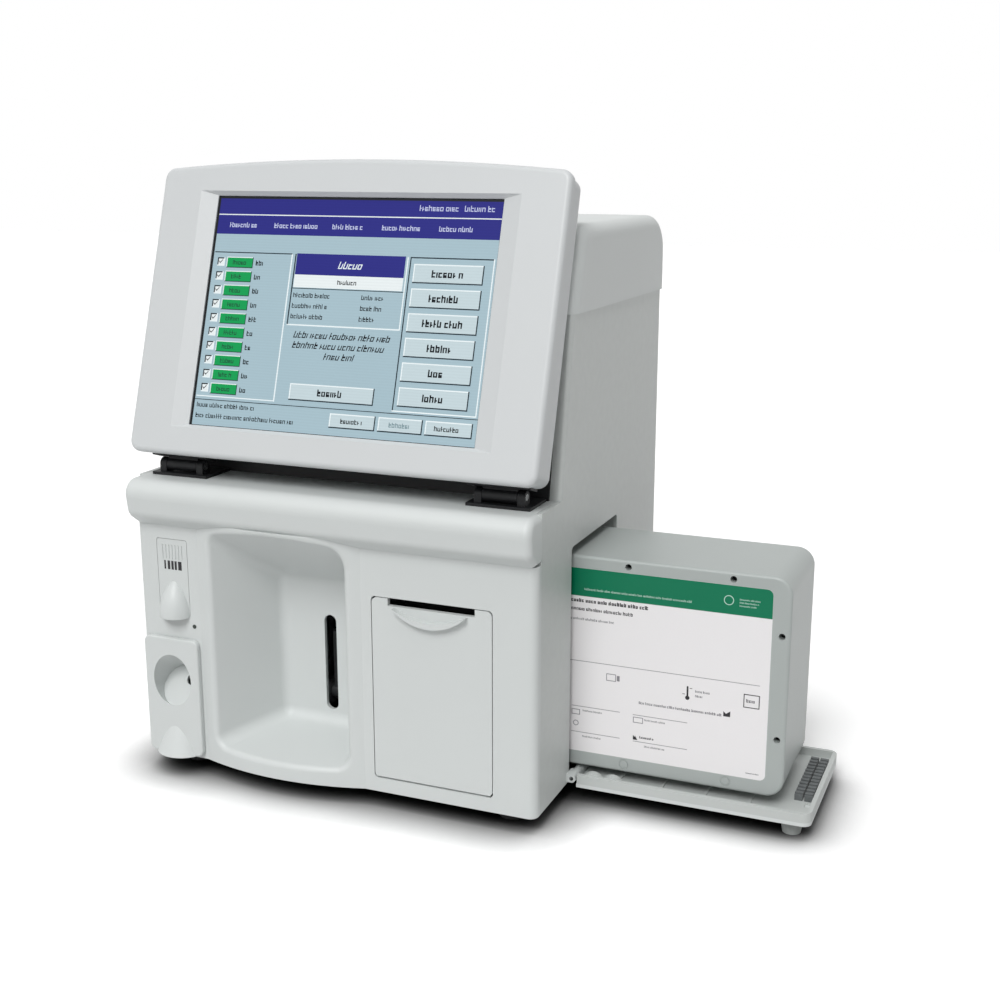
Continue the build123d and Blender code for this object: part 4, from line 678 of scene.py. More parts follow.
@dataclass
class ThinLayer:
    """Thin marks on a flat place, gathered into one mesh with a finish for each mark."""

    name: str
    place: FlatPlace
    thickness: float = 0.03
    mesh: bmesh.types.BMesh = field(default_factory=bmesh.new)
    finishes: list[Finish] = field(default_factory=list)

    def outline(
        self, left: float, top: float, width: float, height: float, radii: tuple[float, ...]
    ) -> list[tuple[float, float]]:
        """Lists the points round a rectangle, from its top left corner and down.

        Args:
            left: distance of its left side from the place's corner.
            top: distance of its top.
            width: its width.
            height: its height.
            radii: corner radii at top left, bottom left, bottom right and top right.

        Returns:
            The points as (across, down) pairs.
        """
        right, bottom = left + width, top + height
        corners = (
            (left, top, 1, 1, 360),
            (left, bottom, 1, -1, 270),
            (right, bottom, -1, -1, 180),
            (right, top, -1, 1, 90),
        )
        points = []
        for (x, y, way_x, way_y, start), radius in zip(corners, radii):
            if radius <= 0:
                points.append((x, y))
                continue
            centre = (x + way_x * radius, y + way_y * radius)
            for step in range(7):
                angle = math.radians(start - step * 15)
                points.append(
                    (centre[0] + radius * math.sin(angle), centre[1] - radius * math.cos(angle))
                )
        return points

    def patch(
        self,
        left: float,
        top: float,
        width: float,
        height: float,
        finish: Finish,
        lift: float = 0.0,
        radii: tuple[float, ...] = (0, 0, 0, 0),
    ) -> None:
        """Adds one closed thin plate.

        Args:
            left: distance of its left side from the place's corner.
            top: distance of its top.
            width: its width.
            height: its height.
            finish: its finish.
            lift: distance of its underside from the surface.
            radii: corner radii at top left, bottom left, bottom right and top right.
        """
        self.solid(self.outline(left, top, width, height, radii), finish, lift)

    def solid(self, points: list[tuple[float, float]], finish: Finish, lift: float) -> None:
        """Adds a closed thin plate of any outline.

        Args:
            points: its outline as (across, down) pairs.
            finish: its finish.
            lift: distance of its underside from the surface.
        """
        if finish not in self.finishes:
            self.finishes.append(finish)
        index = self.finishes.index(finish)
        rings = [
            [self.mesh.verts.new(self.place.point(u, v, level)) for u, v in points]
            for level in (lift, lift + self.thickness)
        ]
        faces = [self.mesh.faces.new(rings[1]), self.mesh.faces.new(rings[0][::-1])]
        count = len(points)
        for i in range(count):
            after = (i + 1) % count
            side = (rings[0][i], rings[0][after], rings[1][after], rings[1][i])
            faces.append(self.mesh.faces.new(side))
        for face in faces:
            face.material_index = index

    def ring(
        self, u: float, v: float, radius: float, line: float, finish: Finish, lift: float
    ) -> None:
        """Adds a thin round ring.

        Args:
            u: distance of its centre from the place's corner, to the right.
            v: distance of its centre down.
            radius: its outer radius.
            line: width of its line.
            finish: its finish.
            lift: distance of its underside from the surface.
        """
        count = 20
        inner = radius - line
        for i in range(count):
            points = []
            for size, turn in ((radius, i), (inner, i), (inner, i + 1), (radius, i + 1)):
                angle = 2 * math.pi * turn / count
                points.append((u + size * math.sin(angle), v - size * math.cos(angle)))
            self.solid(points, finish, lift)

    def box_line(
        self,
        left: float,
        top: float,
        width: float,
        height: float,
        line: float,
        upper: Finish,
        lower: Finish,
        lift: float,
    ) -> None:
        """Adds the four edges of a box, one finish above and left and one below and right.

        Args:
            left: distance of the box's left side from the place's corner.
            top: distance of its top.
            width: its width.
            height: its height.
            line: width of its edges.
            upper: finish of the top and left edges.
            lower: finish of the bottom and right edges.
            lift: distance of the edges' underside from the surface.
        """
        self.patch(left, top, width - line, line, upper, lift)
        self.patch(left, top + line, line, height - 2 * line, upper, lift)
        self.patch(left, top + height - line, width, line, lower, lift)
        self.patch(left + width - line, top, line, height - line, lower, lift)

    def stroke(
        self,
        sides: tuple[float, float, float, float],
        foot: float,
        slant: float,
        finish: Finish,
        lift: float,
    ) -> None:
        """Adds one flat stroke of print.

        Args:
            sides: its left, top, right and bottom, from the place's corner.
            foot: level of the line that the print stands on.
            slant: how far the print leans to the right, as a share of its height.
            finish: its finish.
            lift: distance of the stroke from the surface.
        """
        left, top, right, bottom = sides
        if finish not in self.finishes:
            self.finishes.append(finish)
        corners = ((left, top), (left, bottom), (right, bottom), (right, top))
        verts = [
            self.mesh.verts.new(self.place.point(u + slant * (foot - v), v, lift))
            for u, v in corners
        ]
        self.mesh.faces.new(verts).material_index = self.finishes.index(finish)

    def writing(
        self,
        left: float,
        top: float,
        width: float,
        height: float,
        finish: Finish,
        lift: float,
        seed: int,
        weight: float = 0.17,
        slant: float = 0.0,
    ) -> None:
        """Adds a line of print too small to read, as plain shapes gathered in words.

        Args:
            left: distance of its left end from the place's corner.
            top: distance of its top.
            width: its length.
            height: height of its tallest shapes.
            finish: its finish.
            lift: distance of the print from the surface.
            seed: fixes the pattern of the shapes.
            weight: width of a stroke as a share of the height.
            slant: how far the print leans to the right, as a share of its height.
        """
        choice = random.Random(seed)
        line, foot, body = weight * height, top + height, 0.72 * height
        at, in_word = left, choice.randint(4, 9)
        while True:
            shape = choice.choice(list(Shape))
            step = shape.value.width * body
            if at + step > left + width:
                break
            size = height if choice.random() < 0.3 or at == left else body
            for part in shape.value.parts:
                sides = self.stroke_sides(part, at, foot, step, size, line)
                self.stroke(sides, foot, slant, finish, lift)
            at += step + 0.2 * body
            in_word -= 1
            if in_word == 0:
                at += 0.45 * body
                in_word = choice.randint(4, 9)

    def stroke_sides(
        self, part: Part, at: float, foot: float, step: float, size: float, line: float
    ) -> tuple[float, float, float, float]:
        """Finds the sides of one stroke of a shape.

        Args:
            part: which stroke of the shape it is.
            at: distance of the shape's left side from the place's corner.
            foot: level of the line that the shape stands on.
            step: the shape's width.
            size: the shape's height.
            line: width of a stroke.

        Returns:
            The stroke's left, top, right and bottom.
        """
        across, up = at + step, foot - size
        low, high = foot - min(size, 0.95 * step), foot - min(size, 0.95 * step + line)
        return {
            Part.LEFT: (at, up, at + line, foot),
            Part.RIGHT: (across - line, high, across, foot),
            Part.TOP: (at, high, across, low),
            Part.MIDDLE: (at, foot - 0.55 * size, across, foot - 0.55 * size + line),
            Part.BOTTOM: (at, foot - line, across, foot),
        }[part]

    def place_on(self, body: str) -> bpy.types.Object:
        """Turns the marks into an object that rides on a CAD body.

        Args:
            body: the body's name.

        Returns:
            The new object.
        """
        data = bpy.data.meshes.new(self.name)
        self.mesh.to_mesh(data)
        self.mesh.free()
        for finish in self.finishes:
            data.materials.append(finish.material())
        piece = bpy.data.objects.new(self.name, data)
        bpy.context.scene.collection.objects.link(piece)
        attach(piece, body)
        return piece


@dataclass
class SubAssembly:
    """A group of CAD nodes that are dressed together, with the pieces added to them."""

    nodes: dict[str, bpy.types.Object]

    def finishes(self) -> dict[str, Finish]:
        """Returns the finish of each CAD node in the group."""
        return {}

    def pieces(self) -> list[bpy.types.Object]:
        """Returns the pieces that the group adds, built and placed."""
        return []

    def build(self) -> None:
        """Dresses the nodes, adds the pieces and reports each."""
        for name, finish in self.finishes().items():
            materials = self.nodes[name].data.materials
            materials.clear()
            materials.append(finish.material())
            LOG.info("dressed %s in %s", name, finish.name)
        for piece in self.pieces():
            LOG.info("added %s with %d faces", piece.name, len(piece.data.polygons))

    def front_at(self, node: str, x: float, z: float) -> float:
        """Finds where a node's front surface lies.

        Args:
            node: the CAD node's name.
            x: place across, in millimetres.
            z: height, in millimetres.

        Returns:
            The surface's Y in millimetres.
        """
        start = Vector((x * MM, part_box(node)[0].y - 0.01, z * MM))
        found, where, _, _ = self.nodes[node].ray_cast(start, Vector((0, 1, 0)))
        return (where.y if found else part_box(node)[0].y) / MM


@dataclass
class Case(SubAssembly):
    """Covers, pan, feet and screws of the case."""

    def finishes(self) -> dict[str, Finish]:
        """Names the finish of each CAD node in the group.

        Returns:
            The finish by the node's name.
        """
        return {
            "front_fascia": CASE_PLASTIC,
            "top_cap": CASE_PLASTIC,
            "upper_front_panel": COVER_PAINT,
            "left_shell": COVER_PAINT,
            "right_shell": COVER_PAINT,
            "rear_panel": COVER_PAINT,
            "neck_cover": BLACK_PLASTIC,
            "base_pan": ZINC_STEEL,
            "feet": FOOT_RUBBER,
            "case_screws": ZINC_STEEL,
        }


@dataclass
class CodeReader(SubAssembly):
    """Cover, window and indicator of the bar code reader, with the bars printed on it."""

    bar_height: float = 6.3
    bar_top: float = 144.9
    bars: tuple[tuple[float, float], ...] = (
        (-128.0, 1.3),
        (-125.2, 2.0),
        (-122.2, 1.9),
        (-119.5, 1.8),
        (-116.6, 2.9),
    )

    def finishes(self) -> dict[str, Finish]:
        """Names the finish of each CAD node in the group.

        Returns:
            The finish by the node's name.
        """
        return {
            "reader_cover": CASE_PLASTIC,
            "reader_window": SCAN_WINDOW,
            "indicator_lens": INDICATOR_LENS,
        }

    def pieces(self) -> list[bpy.types.Object]:
        """Lays the printed bars on the reader cover.

        Returns:
            The new piece, in a list.
        """
        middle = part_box("reader_cover")[0].lerp(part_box("reader_cover")[1], 0.5).x / MM
        front = self.front_at("reader_cover", middle, self.bar_top - self.bar_height / 2)
        place = FlatPlace(
            Vector((0, front * MM, self.bar_top * MM)),
            Vector((1, 0, 0)),
            Vector((0, 0, -1)),
            Vector((0, -1, 0)),
        )
        layer = ThinLayer("reader_bars", place)
        for left, width in self.bars:
            layer.patch(left, 0, width, self.bar_height, Ink.PRINT_DARK.printed(), PRINT_LIFT)
        return [layer.place_on("case")]


@dataclass
class AmpouleDrawer(SubAssembly):
    """Front, bin and runners of the ampoule drawer."""

    def finishes(self) -> dict[str, Finish]:
        """Names the finish of each CAD node in the group.

        Returns:
            The finish by the node's name.
        """
        return {
            "ampoule_drawer_front": CASE_PLASTIC,
            "ampoule_bin": DARK_PLASTIC,
            "drawer_runners": ZINC_STEEL,
        }


@dataclass
class Sampler(SubAssembly):
    """Arm, needle, bracket and motor of the sampler."""

    def finishes(self) -> dict[str, Finish]:
        """Names the finish of each CAD node in the group.

        Returns:
            The finish by the node's name.
        """
        return {
            "sampler_arm": BLACK_PLASTIC,
            "sampler_needle": GROUND_STEEL,
            "sampler_bracket": ZINC_STEEL,
            "sampler_motor": DARK_PLASTIC,
        }


@dataclass
class Printer(SubAssembly):
    """Door, tub, mechanism and paper of the printer."""

    def finishes(self) -> dict[str, Finish]:
        """Names the finish of each CAD node in the group.

        Returns:
            The finish by the node's name.
        """
        return {
            "printer_door": CASE_PLASTIC,
            "printer_chassis": BLACK_PLASTIC,
            "printer_frame": ZINC_STEEL,
            "print_head": DARK_PLASTIC,
            "printer_motor": ZINC_STEEL,
            "printer_rods": GROUND_STEEL,
            "platen_roller": FOOT_RUBBER,
            "motor_pinion": GEAR_PLASTIC,
            "paper_roll": PRINTER_PAPER,
        }


@dataclass
class Display(SubAssembly):
    """Display with its hinge, and the picture on its glass.

    The picture is laid out in millimetres from the top left corner of the lit panel.
    """

    lean_degrees: float = 18.15
    glass_thickness: float = 1.5
    picture_width: float = 211.2
    picture_height: float = 158.4
    # Width of the painted shade of the bezel's gap at the left and top of the picture.
    border: float = 1.8
    list_top: float = 42.1
    list_pitch: float = 9.63
    list_rows: int = 10
    type_tops: tuple[float, ...] = (43.0, 59.0, 75.1, 91.1, 107.1, 123.2)
    type_words: tuple[float, ...] = (23.0, 23.0, 28.0, 17.0, 11.0, 15.0)

    def finishes(self) -> dict[str, Finish]:
        """Names the finish of each CAD node in the group.

        Returns:
            The finish by the node's name.
        """
        return {
            "display_bezel": BEZEL_PLASTIC,
            "display_rear_housing": BEZEL_PLASTIC,
            "touch_glass": TOUCH_GLASS,
            "lcd_panel": MILL_ALUMINIUM,
            "display_board": BOARD_LACQUER,
            "display_arms": BLACK_PLASTIC,
            "hinge_brackets": BLACK_PLASTIC,
            "hinge_pins": GROUND_STEEL,
        }

    def glass_place(self) -> FlatPlace:
        """Finds the glass's front from its box and its lean.

        Returns:
            The flat place whose corner is the picture's top left corner.
        """
        lean = math.radians(self.lean_degrees)
        up = Vector((0, math.sin(lean), math.cos(lean)))
        out = Vector((0, -math.cos(lean), math.sin(lean)))
        low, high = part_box("touch_glass")
        half = (high.z - low.z - self.glass_thickness * MM * math.sin(lean)) / math.cos(lean) / 2
        middle = Vector((0, low.y + half * math.sin(lean), high.z - half * math.cos(lean)))
        corner = middle + up * self.picture_height / 2 * MM
        corner.x = -self.picture_width / 2 * MM
        return FlatPlace(corner, Vector((1, 0, 0)), -up, out)

    def pieces(self) -> list[bpy.types.Object]:
        """Lays the parts of the picture, each a thin layer on the glass.

        Returns:
            The new pieces.
        """
        place = self.glass_place()
        return [
            self.ground(place),
            self.header(place),
            self.check_list(place),
            self.message(place),
            self.type_buttons(place),
            self.status_row(place),
        ]

    def ground(self, place: FlatPlace) -> bpy.types.Object:
        """Lays the lit ground of the picture and the painted shade round it: a near-black sheet for
        the shadow in the bezel's gap, wider at the left and top.

        Args:
            place: the glass's front.

        Returns:
            The new piece.
        """
        layer = ThinLayer("screen_ground", place)
        # Painted shade of the bezel's gap: a near-black sheet under the picture, showing more at
        # the left and top than at the right and bottom.
        layer.patch(0, 0, self.picture_width, self.picture_height, GAP_SHADE_SHEET, 0.01)
        layer.patch(
            self.border,
            self.border,
            self.picture_width - self.border - 0.5,
            self.picture_height - self.border - 0.5,
            Ink.GROUND.lit(),
            GROUND_LIFT,
        )
        return layer.place_on("display")

    def header(self, place: FlatPlace) -> bpy.types.Object:
        """Lays the two dark bands along the top with their words.

        Args:
            place: the glass's front.

        Returns:
            The new piece.
        """
        layer = ThinLayer("screen_header", place)
        width = self.picture_width - self.border - 0.5
        layer.patch(self.border, self.border, width, 26.3 - self.border, Ink.NAVY.lit(), PANEL_LIFT)
        layer.patch(self.border, 12.5, width, 0.7, Ink.PALE_ROW.lit(), EDGE_LIFT)
        words = Ink.HEADER_TEXT.lit()
        spans = ((11.5, 22.2), (46.3, 34.4), (90.6, 24.3), (127.3, 28.3), (168.2, 23.8))
        for seed, (left, length) in enumerate(spans):
            layer.writing(left, 18.2, length, 3.4, words, EDGE_LIFT, seed, 0.17)
        layer.writing(152.7, 4.6, 27.6, 3.8, words, EDGE_LIFT, 11, 0.15)
        layer.writing(184.4, 4.6, 21.2, 3.8, words, EDGE_LIFT, 12, 0.15)
        return layer.place_on("display")

    def check_list(self, place: FlatPlace) -> bpy.types.Object:
        """Lays the left panel: ten green bars, each with its check box and a short word.

        Args:
            place: the glass's front.

        Returns:
            The new piece.
        """
        layer = ThinLayer("screen_check_list", place)
        light, dark, text = Ink.LIGHT_EDGE.lit(), Ink.DARK_EDGE.lit(), Ink.TEXT.lit()
        layer.patch(2.4, 38.6, 60.6, 0.7, dark, PANEL_LIFT)
        layer.patch(62.6, 39.0, 0.9, 99.5, light, PANEL_LIFT)
        layer.patch(2.4, 137.7, 60.6, 0.7, light, PANEL_LIFT)
        for row in range(self.list_rows):
            top = self.list_top + row * self.list_pitch
            layer.patch(12.7, top, 20.8, 7.4, Ink.GREEN.lit(), PANEL_LIFT)
            layer.box_line(12.7, top, 20.8, 7.4, 0.5, light, dark, EDGE_LIFT)
            layer.writing(17.6, top + 2.2, 10.5, 3.0, dark, EDGE_LIFT, 20 + row, 0.14)
            layer.patch(5.4, top + 0.6, 5.8, 5.8, Ink.PALE_ROW.lit(), PANEL_LIFT)
            layer.box_line(5.4, top + 0.6, 5.8, 5.8, 0.8, text, light, EDGE_LIFT)
            self.tick(layer, 6.6, top + 1.7, text)
            layer.writing(35.6, top + 2.0, 6.1, 3.4, text, PANEL_LIFT, 40 + row, 0.2)
        return layer.place_on("display")

    def tick(self, layer: ThinLayer, left: float, top: float, finish: Finish) -> None:
        """Adds a tick to a check box.

        Args:
            layer: the layer that it belongs to.
            left: distance of its left end from the place's corner.
            top: distance of its top.
            finish: its finish.
        """
        points = [(0, 1.1), (0, 1.9), (1.0, 2.9), (2.9, 0.7), (2.9, 0), (1.0, 2.1)]
        layer.solid([(left + u, top + v) for u, v in points], finish, TOP_LIFT)

    def message(self, place: FlatPlace) -> bpy.types.Object:
        """Lays the middle panel: title, status rows, message and one button.

        Args:
            place: the glass's front.

        Returns:
            The new piece.
        """
        layer = ThinLayer("screen_message", place)
        light, dark, text = Ink.LIGHT_EDGE.lit(), Ink.DARK_EDGE.lit(), Ink.TEXT.lit()
        layer.patch(66.8, 38.4, 80.4, 14.2, Ink.NAVY.lit(), PANEL_LIFT)
        layer.patch(66.8, 52.6, 80.4, 8.6, Ink.PALE_ROW.lit(), PANEL_LIFT)
        layer.patch(65.4, 38.8, 0.9, 47.5, dark, PANEL_LIFT)
        layer.patch(148.4, 38.8, 0.8, 48.0, light, PANEL_LIFT)
        layer.patch(66.3, 61.6, 82.0, 0.5, dark, PANEL_LIFT)
        layer.patch(65.4, 86.0, 83.0, 0.9, light, PANEL_LIFT)
        layer.writing(98.5, 43.2, 18.0, 4.8, Ink.LIGHT_EDGE.lit(), EDGE_LIFT, 60, 0.15, 0.3)
        layer.writing(99.5, 55.4, 15.5, 3.2, text, EDGE_LIFT, 61, 0.18)
        for row, top in enumerate((64.8, 71.9, 79.0)):
            layer.writing(67.6, top, 28.5 - row * 0.8, 3.2, text, PANEL_LIFT, 62 + row, 0.17)
            layer.writing(118.6, top, 18.6 - row * 3, 3.2, text, PANEL_LIFT, 66 + row, 0.17)
        for seed, (left, top, length) in enumerate(
            ((71.5, 90.6, 71.0), (71.5, 97.4, 71.0), (96.0, 104.2, 22.0))
        ):
            layer.writing(left, top, length, 4.4, text, PANEL_LIFT, 70 + seed, 0.16, 0.3)
        self.button(layer, 74.0, 125.4, 62.6, 11.2, PANEL_LIFT)
        layer.writing(95.0, 128.4, 20.5, 4.6, text, TOP_LIFT, 75, 0.2)
        return layer.place_on("display")

    def button(
        self, layer: ThinLayer, left: float, top: float, width: float, height: float, lift: float
    ) -> None:
        """Adds a button of the picture, light above and left and dark below and right.

        Args:
            layer: the layer that it belongs to.
            left: distance of its left side from the place's corner.
            top: distance of its top.
            width: its width.
            height: its height.
            lift: distance of its underside from the surface.
        """
        layer.patch(left, top, width, height, Ink.BUTTON.lit(), lift)
        light, dark = Ink.LIGHT_EDGE.lit(), Ink.DARK_EDGE.lit()
        layer.box_line(left, top, width, height, 0.8, light, dark, lift + EDGE_STEP)

    def type_buttons(self, place: FlatPlace) -> bpy.types.Object:
        """Lays the right panel with its column of six buttons.

        Args:
            place: the glass's front.

        Returns:
            The new piece.
        """
        layer = ThinLayer("screen_type_buttons", place)
        dark, light = Ink.DARK_EDGE.lit(), Ink.LIGHT_EDGE.lit()
        layer.box_line(150.5, 38.6, 59.0, 100.6, 0.8, dark, light, PANEL_LIFT)
        for seed, (top, word) in enumerate(zip(self.type_tops, self.type_words)):
            self.button(layer, 153.7, top, 49.2, 12.6, PANEL_LIFT)
            left = 153.7 + (49.2 - word) / 2
            layer.writing(left, top + 3.8, word, 4.8, Ink.TEXT.lit(), TOP_LIFT, 80 + seed, 0.21)
        return layer.place_on("display")

    def status_row(self, place: FlatPlace) -> bpy.types.Object:
        """Lays the bottom row: two lines of words and three buttons.

        Args:
            place: the glass's front.

        Returns:
            The new piece.
        """
        layer = ThinLayer("screen_status_row", place)
        text = Ink.TEXT.lit()
        width = self.picture_width - 2.2
        layer.patch(self.border, 140.2, width, 0.5, Ink.DARK_EDGE.lit(), PANEL_LIFT)
        layer.writing(3.8, 142.4, 45.9, 3.2, text, PANEL_LIFT, 90, 0.17)
        layer.writing(3.8, 149.6, 76.0, 3.2, text, PANEL_LIFT, 91, 0.17)
        spans = ((106.4, 33.4, 17.0), (141.9, 31.5, 16.0), (175.3, 32.7, 20.0))
        for seed, (left, across, word) in enumerate(spans):
            self.button(layer, left, 143.3, across, 9.6, PANEL_LIFT)
            finish = Ink.FAINT_TEXT.lit() if seed == 1 else text
            start = left + (across - word) / 2
            layer.writing(start, 146.4, word, 3.2, finish, TOP_LIFT, 92 + seed, 0.18)
        return layer.place_on("display")


@dataclass
class Cartridge(SubAssembly):
    """Cartridge with its printed label, and the rails, pump and contacts that it meets.

    The print is laid out in millimetres from the label's top left corner.
    """

    band_height: float = 19.4
    corner_radius: float = 3.9
    margin: float = 6.0
    rule_down: float = 65.3

    def finishes(self) -> dict[str, Finish]:
        """Names the finish of each CAD node in the group.

        Returns:
            The finish by the node's name.
        """
        return {
            "cartridge_front_shell": CARTRIDGE_PLASTIC,
            "cartridge_rear_shell": CARTRIDGE_PLASTIC,
            "cartridge_label": LABEL_STOCK,
            "cartridge_screws": BLACK_STEEL,
            "reagent_pouches": POUCH_FILM,
            "cartridge_rails": DARK_PLASTIC,
            "drive_plate": MILL_ALUMINIUM,
            "contact_block": BLACK_PLASTIC,
            "pump_motor": DARK_PLASTIC,
            "pump_rotor": GEAR_PLASTIC,
        }

    def pieces(self) -> list[bpy.types.Object]:
        """Lays the print on the label.

        Returns:
            The new pieces.
        """
        low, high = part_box("cartridge_label")
        place = FlatPlace(
            Vector((low.x, low.y, high.z)),
            Vector((1, 0, 0)),
            Vector((0, 0, -1)),
            Vector((0, -1, 0)),
        )
        width = (high.x - low.x) / MM
        return [self.band(place, width), self.text(place, width), self.symbols(place)]

    def band(self, place: FlatPlace, width: float) -> bpy.types.Object:
        """Lays the coloured band along the label's top, with its pale marks.

        Args:
            place: the label's front.
            width: the label's width.

        Returns:
            The new piece.
        """
        layer = ThinLayer("label_band", place)
        radii = (self.corner_radius, 0, 0, self.corner_radius)
        layer.patch(
            0.1, 0.1, width - 0.2, self.band_height, Ink.BAND.printed(), PRINT_LIFT, radii
        )
        pale = Ink.BAND_MARK.printed()
        layer.writing(65.8, 13.6, 74.0, 1.5, pale, BAND_MARK_LIFT, 101, 0.2)
        for i in range(3):
            top, length = 8.3 + i * 2.1, 14.0 - i * 1.5
            layer.writing(170.5, top, length, 1.2, pale, BAND_MARK_LIFT, 103 + i, 0.2)
        layer.ring(163.5, 10.2, 3.3, 0.5, pale, BAND_MARK_LIFT)
        return layer.place_on("cartridge")

    def text(self, place: FlatPlace, width: float) -> bpy.types.Object:
        """Lays the rows of small print and the rule across the label.

        Args:
            place: the label's front.
            width: the label's width.

        Returns:
            The new piece.
        """
        layer = ThinLayer("label_text", place)
        dark, mid = Ink.PRINT_DARK.printed(), Ink.PRINT_MID.printed()
        layer.writing(self.margin, 21.2, 104.2, 2.6, dark, PRINT_LIFT, 110, 0.27)
        layer.writing(self.margin, 27.2, 94.9, 2.4, dark, PRINT_LIFT, 111, 0.22)
        layer.writing(self.margin, 34.6, 81.4, 1.8, mid, PRINT_LIFT, 112, 0.2)
        layer.patch(self.margin, self.rule_down, 180.0, 0.4, mid, PRINT_LIFT)
        layer.writing(105.3, 88.4, 57.0, 1.9, mid, PRINT_LIFT, 113, 0.24)
        layer.writing(143.6, 74.6, 10.2, 1.7, mid, PRINT_LIFT, 114, 0.2)
        layer.writing(143.6, 77.9, 6.0, 1.7, mid, PRINT_LIFT, 115, 0.2)
        for row, (left, top, length) in enumerate(
            ((57.8, 98.1, 34.5), (101.4, 98.3, 37.5), (57.8, 116.9, 34.7), (101.8, 117.3, 37.5))
        ):
            layer.patch(left, top, length, 0.4, mid, PRINT_LIFT)
            layer.writing(left + 8, top + 2.2, length * 0.4, 1.4, mid, PRINT_LIFT, 120 + row, 0.2)
        layer.writing(106.2, 113.2, 11.0, 1.7, dark, PRINT_LIFT, 130, 0.24)
        layer.writing(width - 12.8, 126.6, 8.6, 1.0, mid, PRINT_LIFT, 131, 0.24)
        return layer.place_on("cartridge")

    def symbols(self, place: FlatPlace) -> bpy.types.Object:
        """Lays the small plain pictures: a box, a thermometer and three squares.

        Args:
            place: the label's front.

        Returns:
            The new piece.
        """
        layer = ThinLayer("label_symbols", place)
        dark, mid = Ink.PRINT_DARK.printed(), Ink.PRINT_MID.printed()
        layer.box_line(82.2, 71.8, 6.8, 5.2, 0.5, mid, mid, PRINT_LIFT)
        layer.patch(89.6, 72.6, 2.0, 3.8, mid, PRINT_LIFT)
        layer.box_line(175.7, 72.3, 10.6, 9.4, 0.6, dark, dark, PRINT_LIFT)
        layer.writing(177.4, 75.6, 7.0, 2.4, mid, PRINT_LIFT, 140, 0.24)
        layer.box_line(57.9, 100.6, 6.0, 4.0, 0.5, mid, mid, PRINT_LIFT)
        layer.box_line(101.6, 99.9, 7.0, 4.2, 0.5, mid, mid, PRINT_LIFT)
        layer.ring(61.0, 110.7, 2.0, 0.5, mid, PRINT_LIFT)
        left_mark = [(101.8, 116.4), (101.8, 113.2), (103.2, 114.4), (103.2, 113.2), (105.0, 116.4)]
        right_mark = [(162.8, 89.9), (162.8, 86.4), (164.6, 88.0), (167.4, 85.9), (167.4, 89.9)]
        layer.solid(left_mark, dark, PRINT_LIFT)
        layer.solid(right_mark, dark, PRINT_LIFT)
        self.thermometer(layer, 138.4, 72.6, dark)
        return layer.place_on("cartridge")

    def thermometer(self, layer: ThinLayer, u: float, top: float, finish: Finish) -> None:
        """Adds a small picture of a thermometer.

        Args:
            layer: the layer that it belongs to.
            u: distance of its middle from the place's corner.
            top: distance of its top.
            finish: its finish.
        """
        layer.patch(u - 0.6, top, 1.2, 7.0, finish, PRINT_LIFT, (0.5, 0, 0, 0.5))
        count = 16
        turns = [2 * math.pi * i / count for i in range(count)]
        bulb = [(u - 1.5 * math.sin(t), top + 8.2 - 1.5 * math.cos(t)) for t in turns]
        layer.solid(bulb, finish, PRINT_LIFT)
        layer.patch(u + 1.4, top + 1.2, 1.8, 0.4, finish, PRINT_LIFT)
        layer.patch(u - 3.4, top + 5.6, 1.8, 0.4, finish, PRINT_LIFT)


@dataclass
class SideDoor(SubAssembly):
    """Side door, folded down, with its hinge, pads and foot."""

    def finishes(self) -> dict[str, Finish]:
        """Names the finish of each CAD node in the group.

        Returns:
            The finish by the node's name.
        """
        return {
            "side_door_panel": CASE_PLASTIC,
            "side_door_liner": LINER_PLASTIC,
            "side_door_pads": PAD_RUBBER,
            "side_door_foot": PALE_RUBBER,
            "side_door_brackets": CASE_PLASTIC,
            "side_door_pin": GROUND_STEEL,
        }


@dataclass
class Electronics(SubAssembly):
    """Shelf, boards, power supply, fan and power inlet."""

    def finishes(self) -> dict[str, Finish]:
        """Names the finish of each CAD node in the group.

        Returns:
            The finish by the node's name.
        """
        return {
            "chassis_shelf": ZINC_STEEL,
            "main_board": BOARD_WITH_PARTS,
            "power_supply": ZINC_STEEL,
            "fan_frame": BLACK_PLASTIC,
            "fan_rotor": BLACK_PLASTIC,
            "power_inlet": BLACK_PLASTIC,
            "switch_rocker": BLACK_PLASTIC,
        }


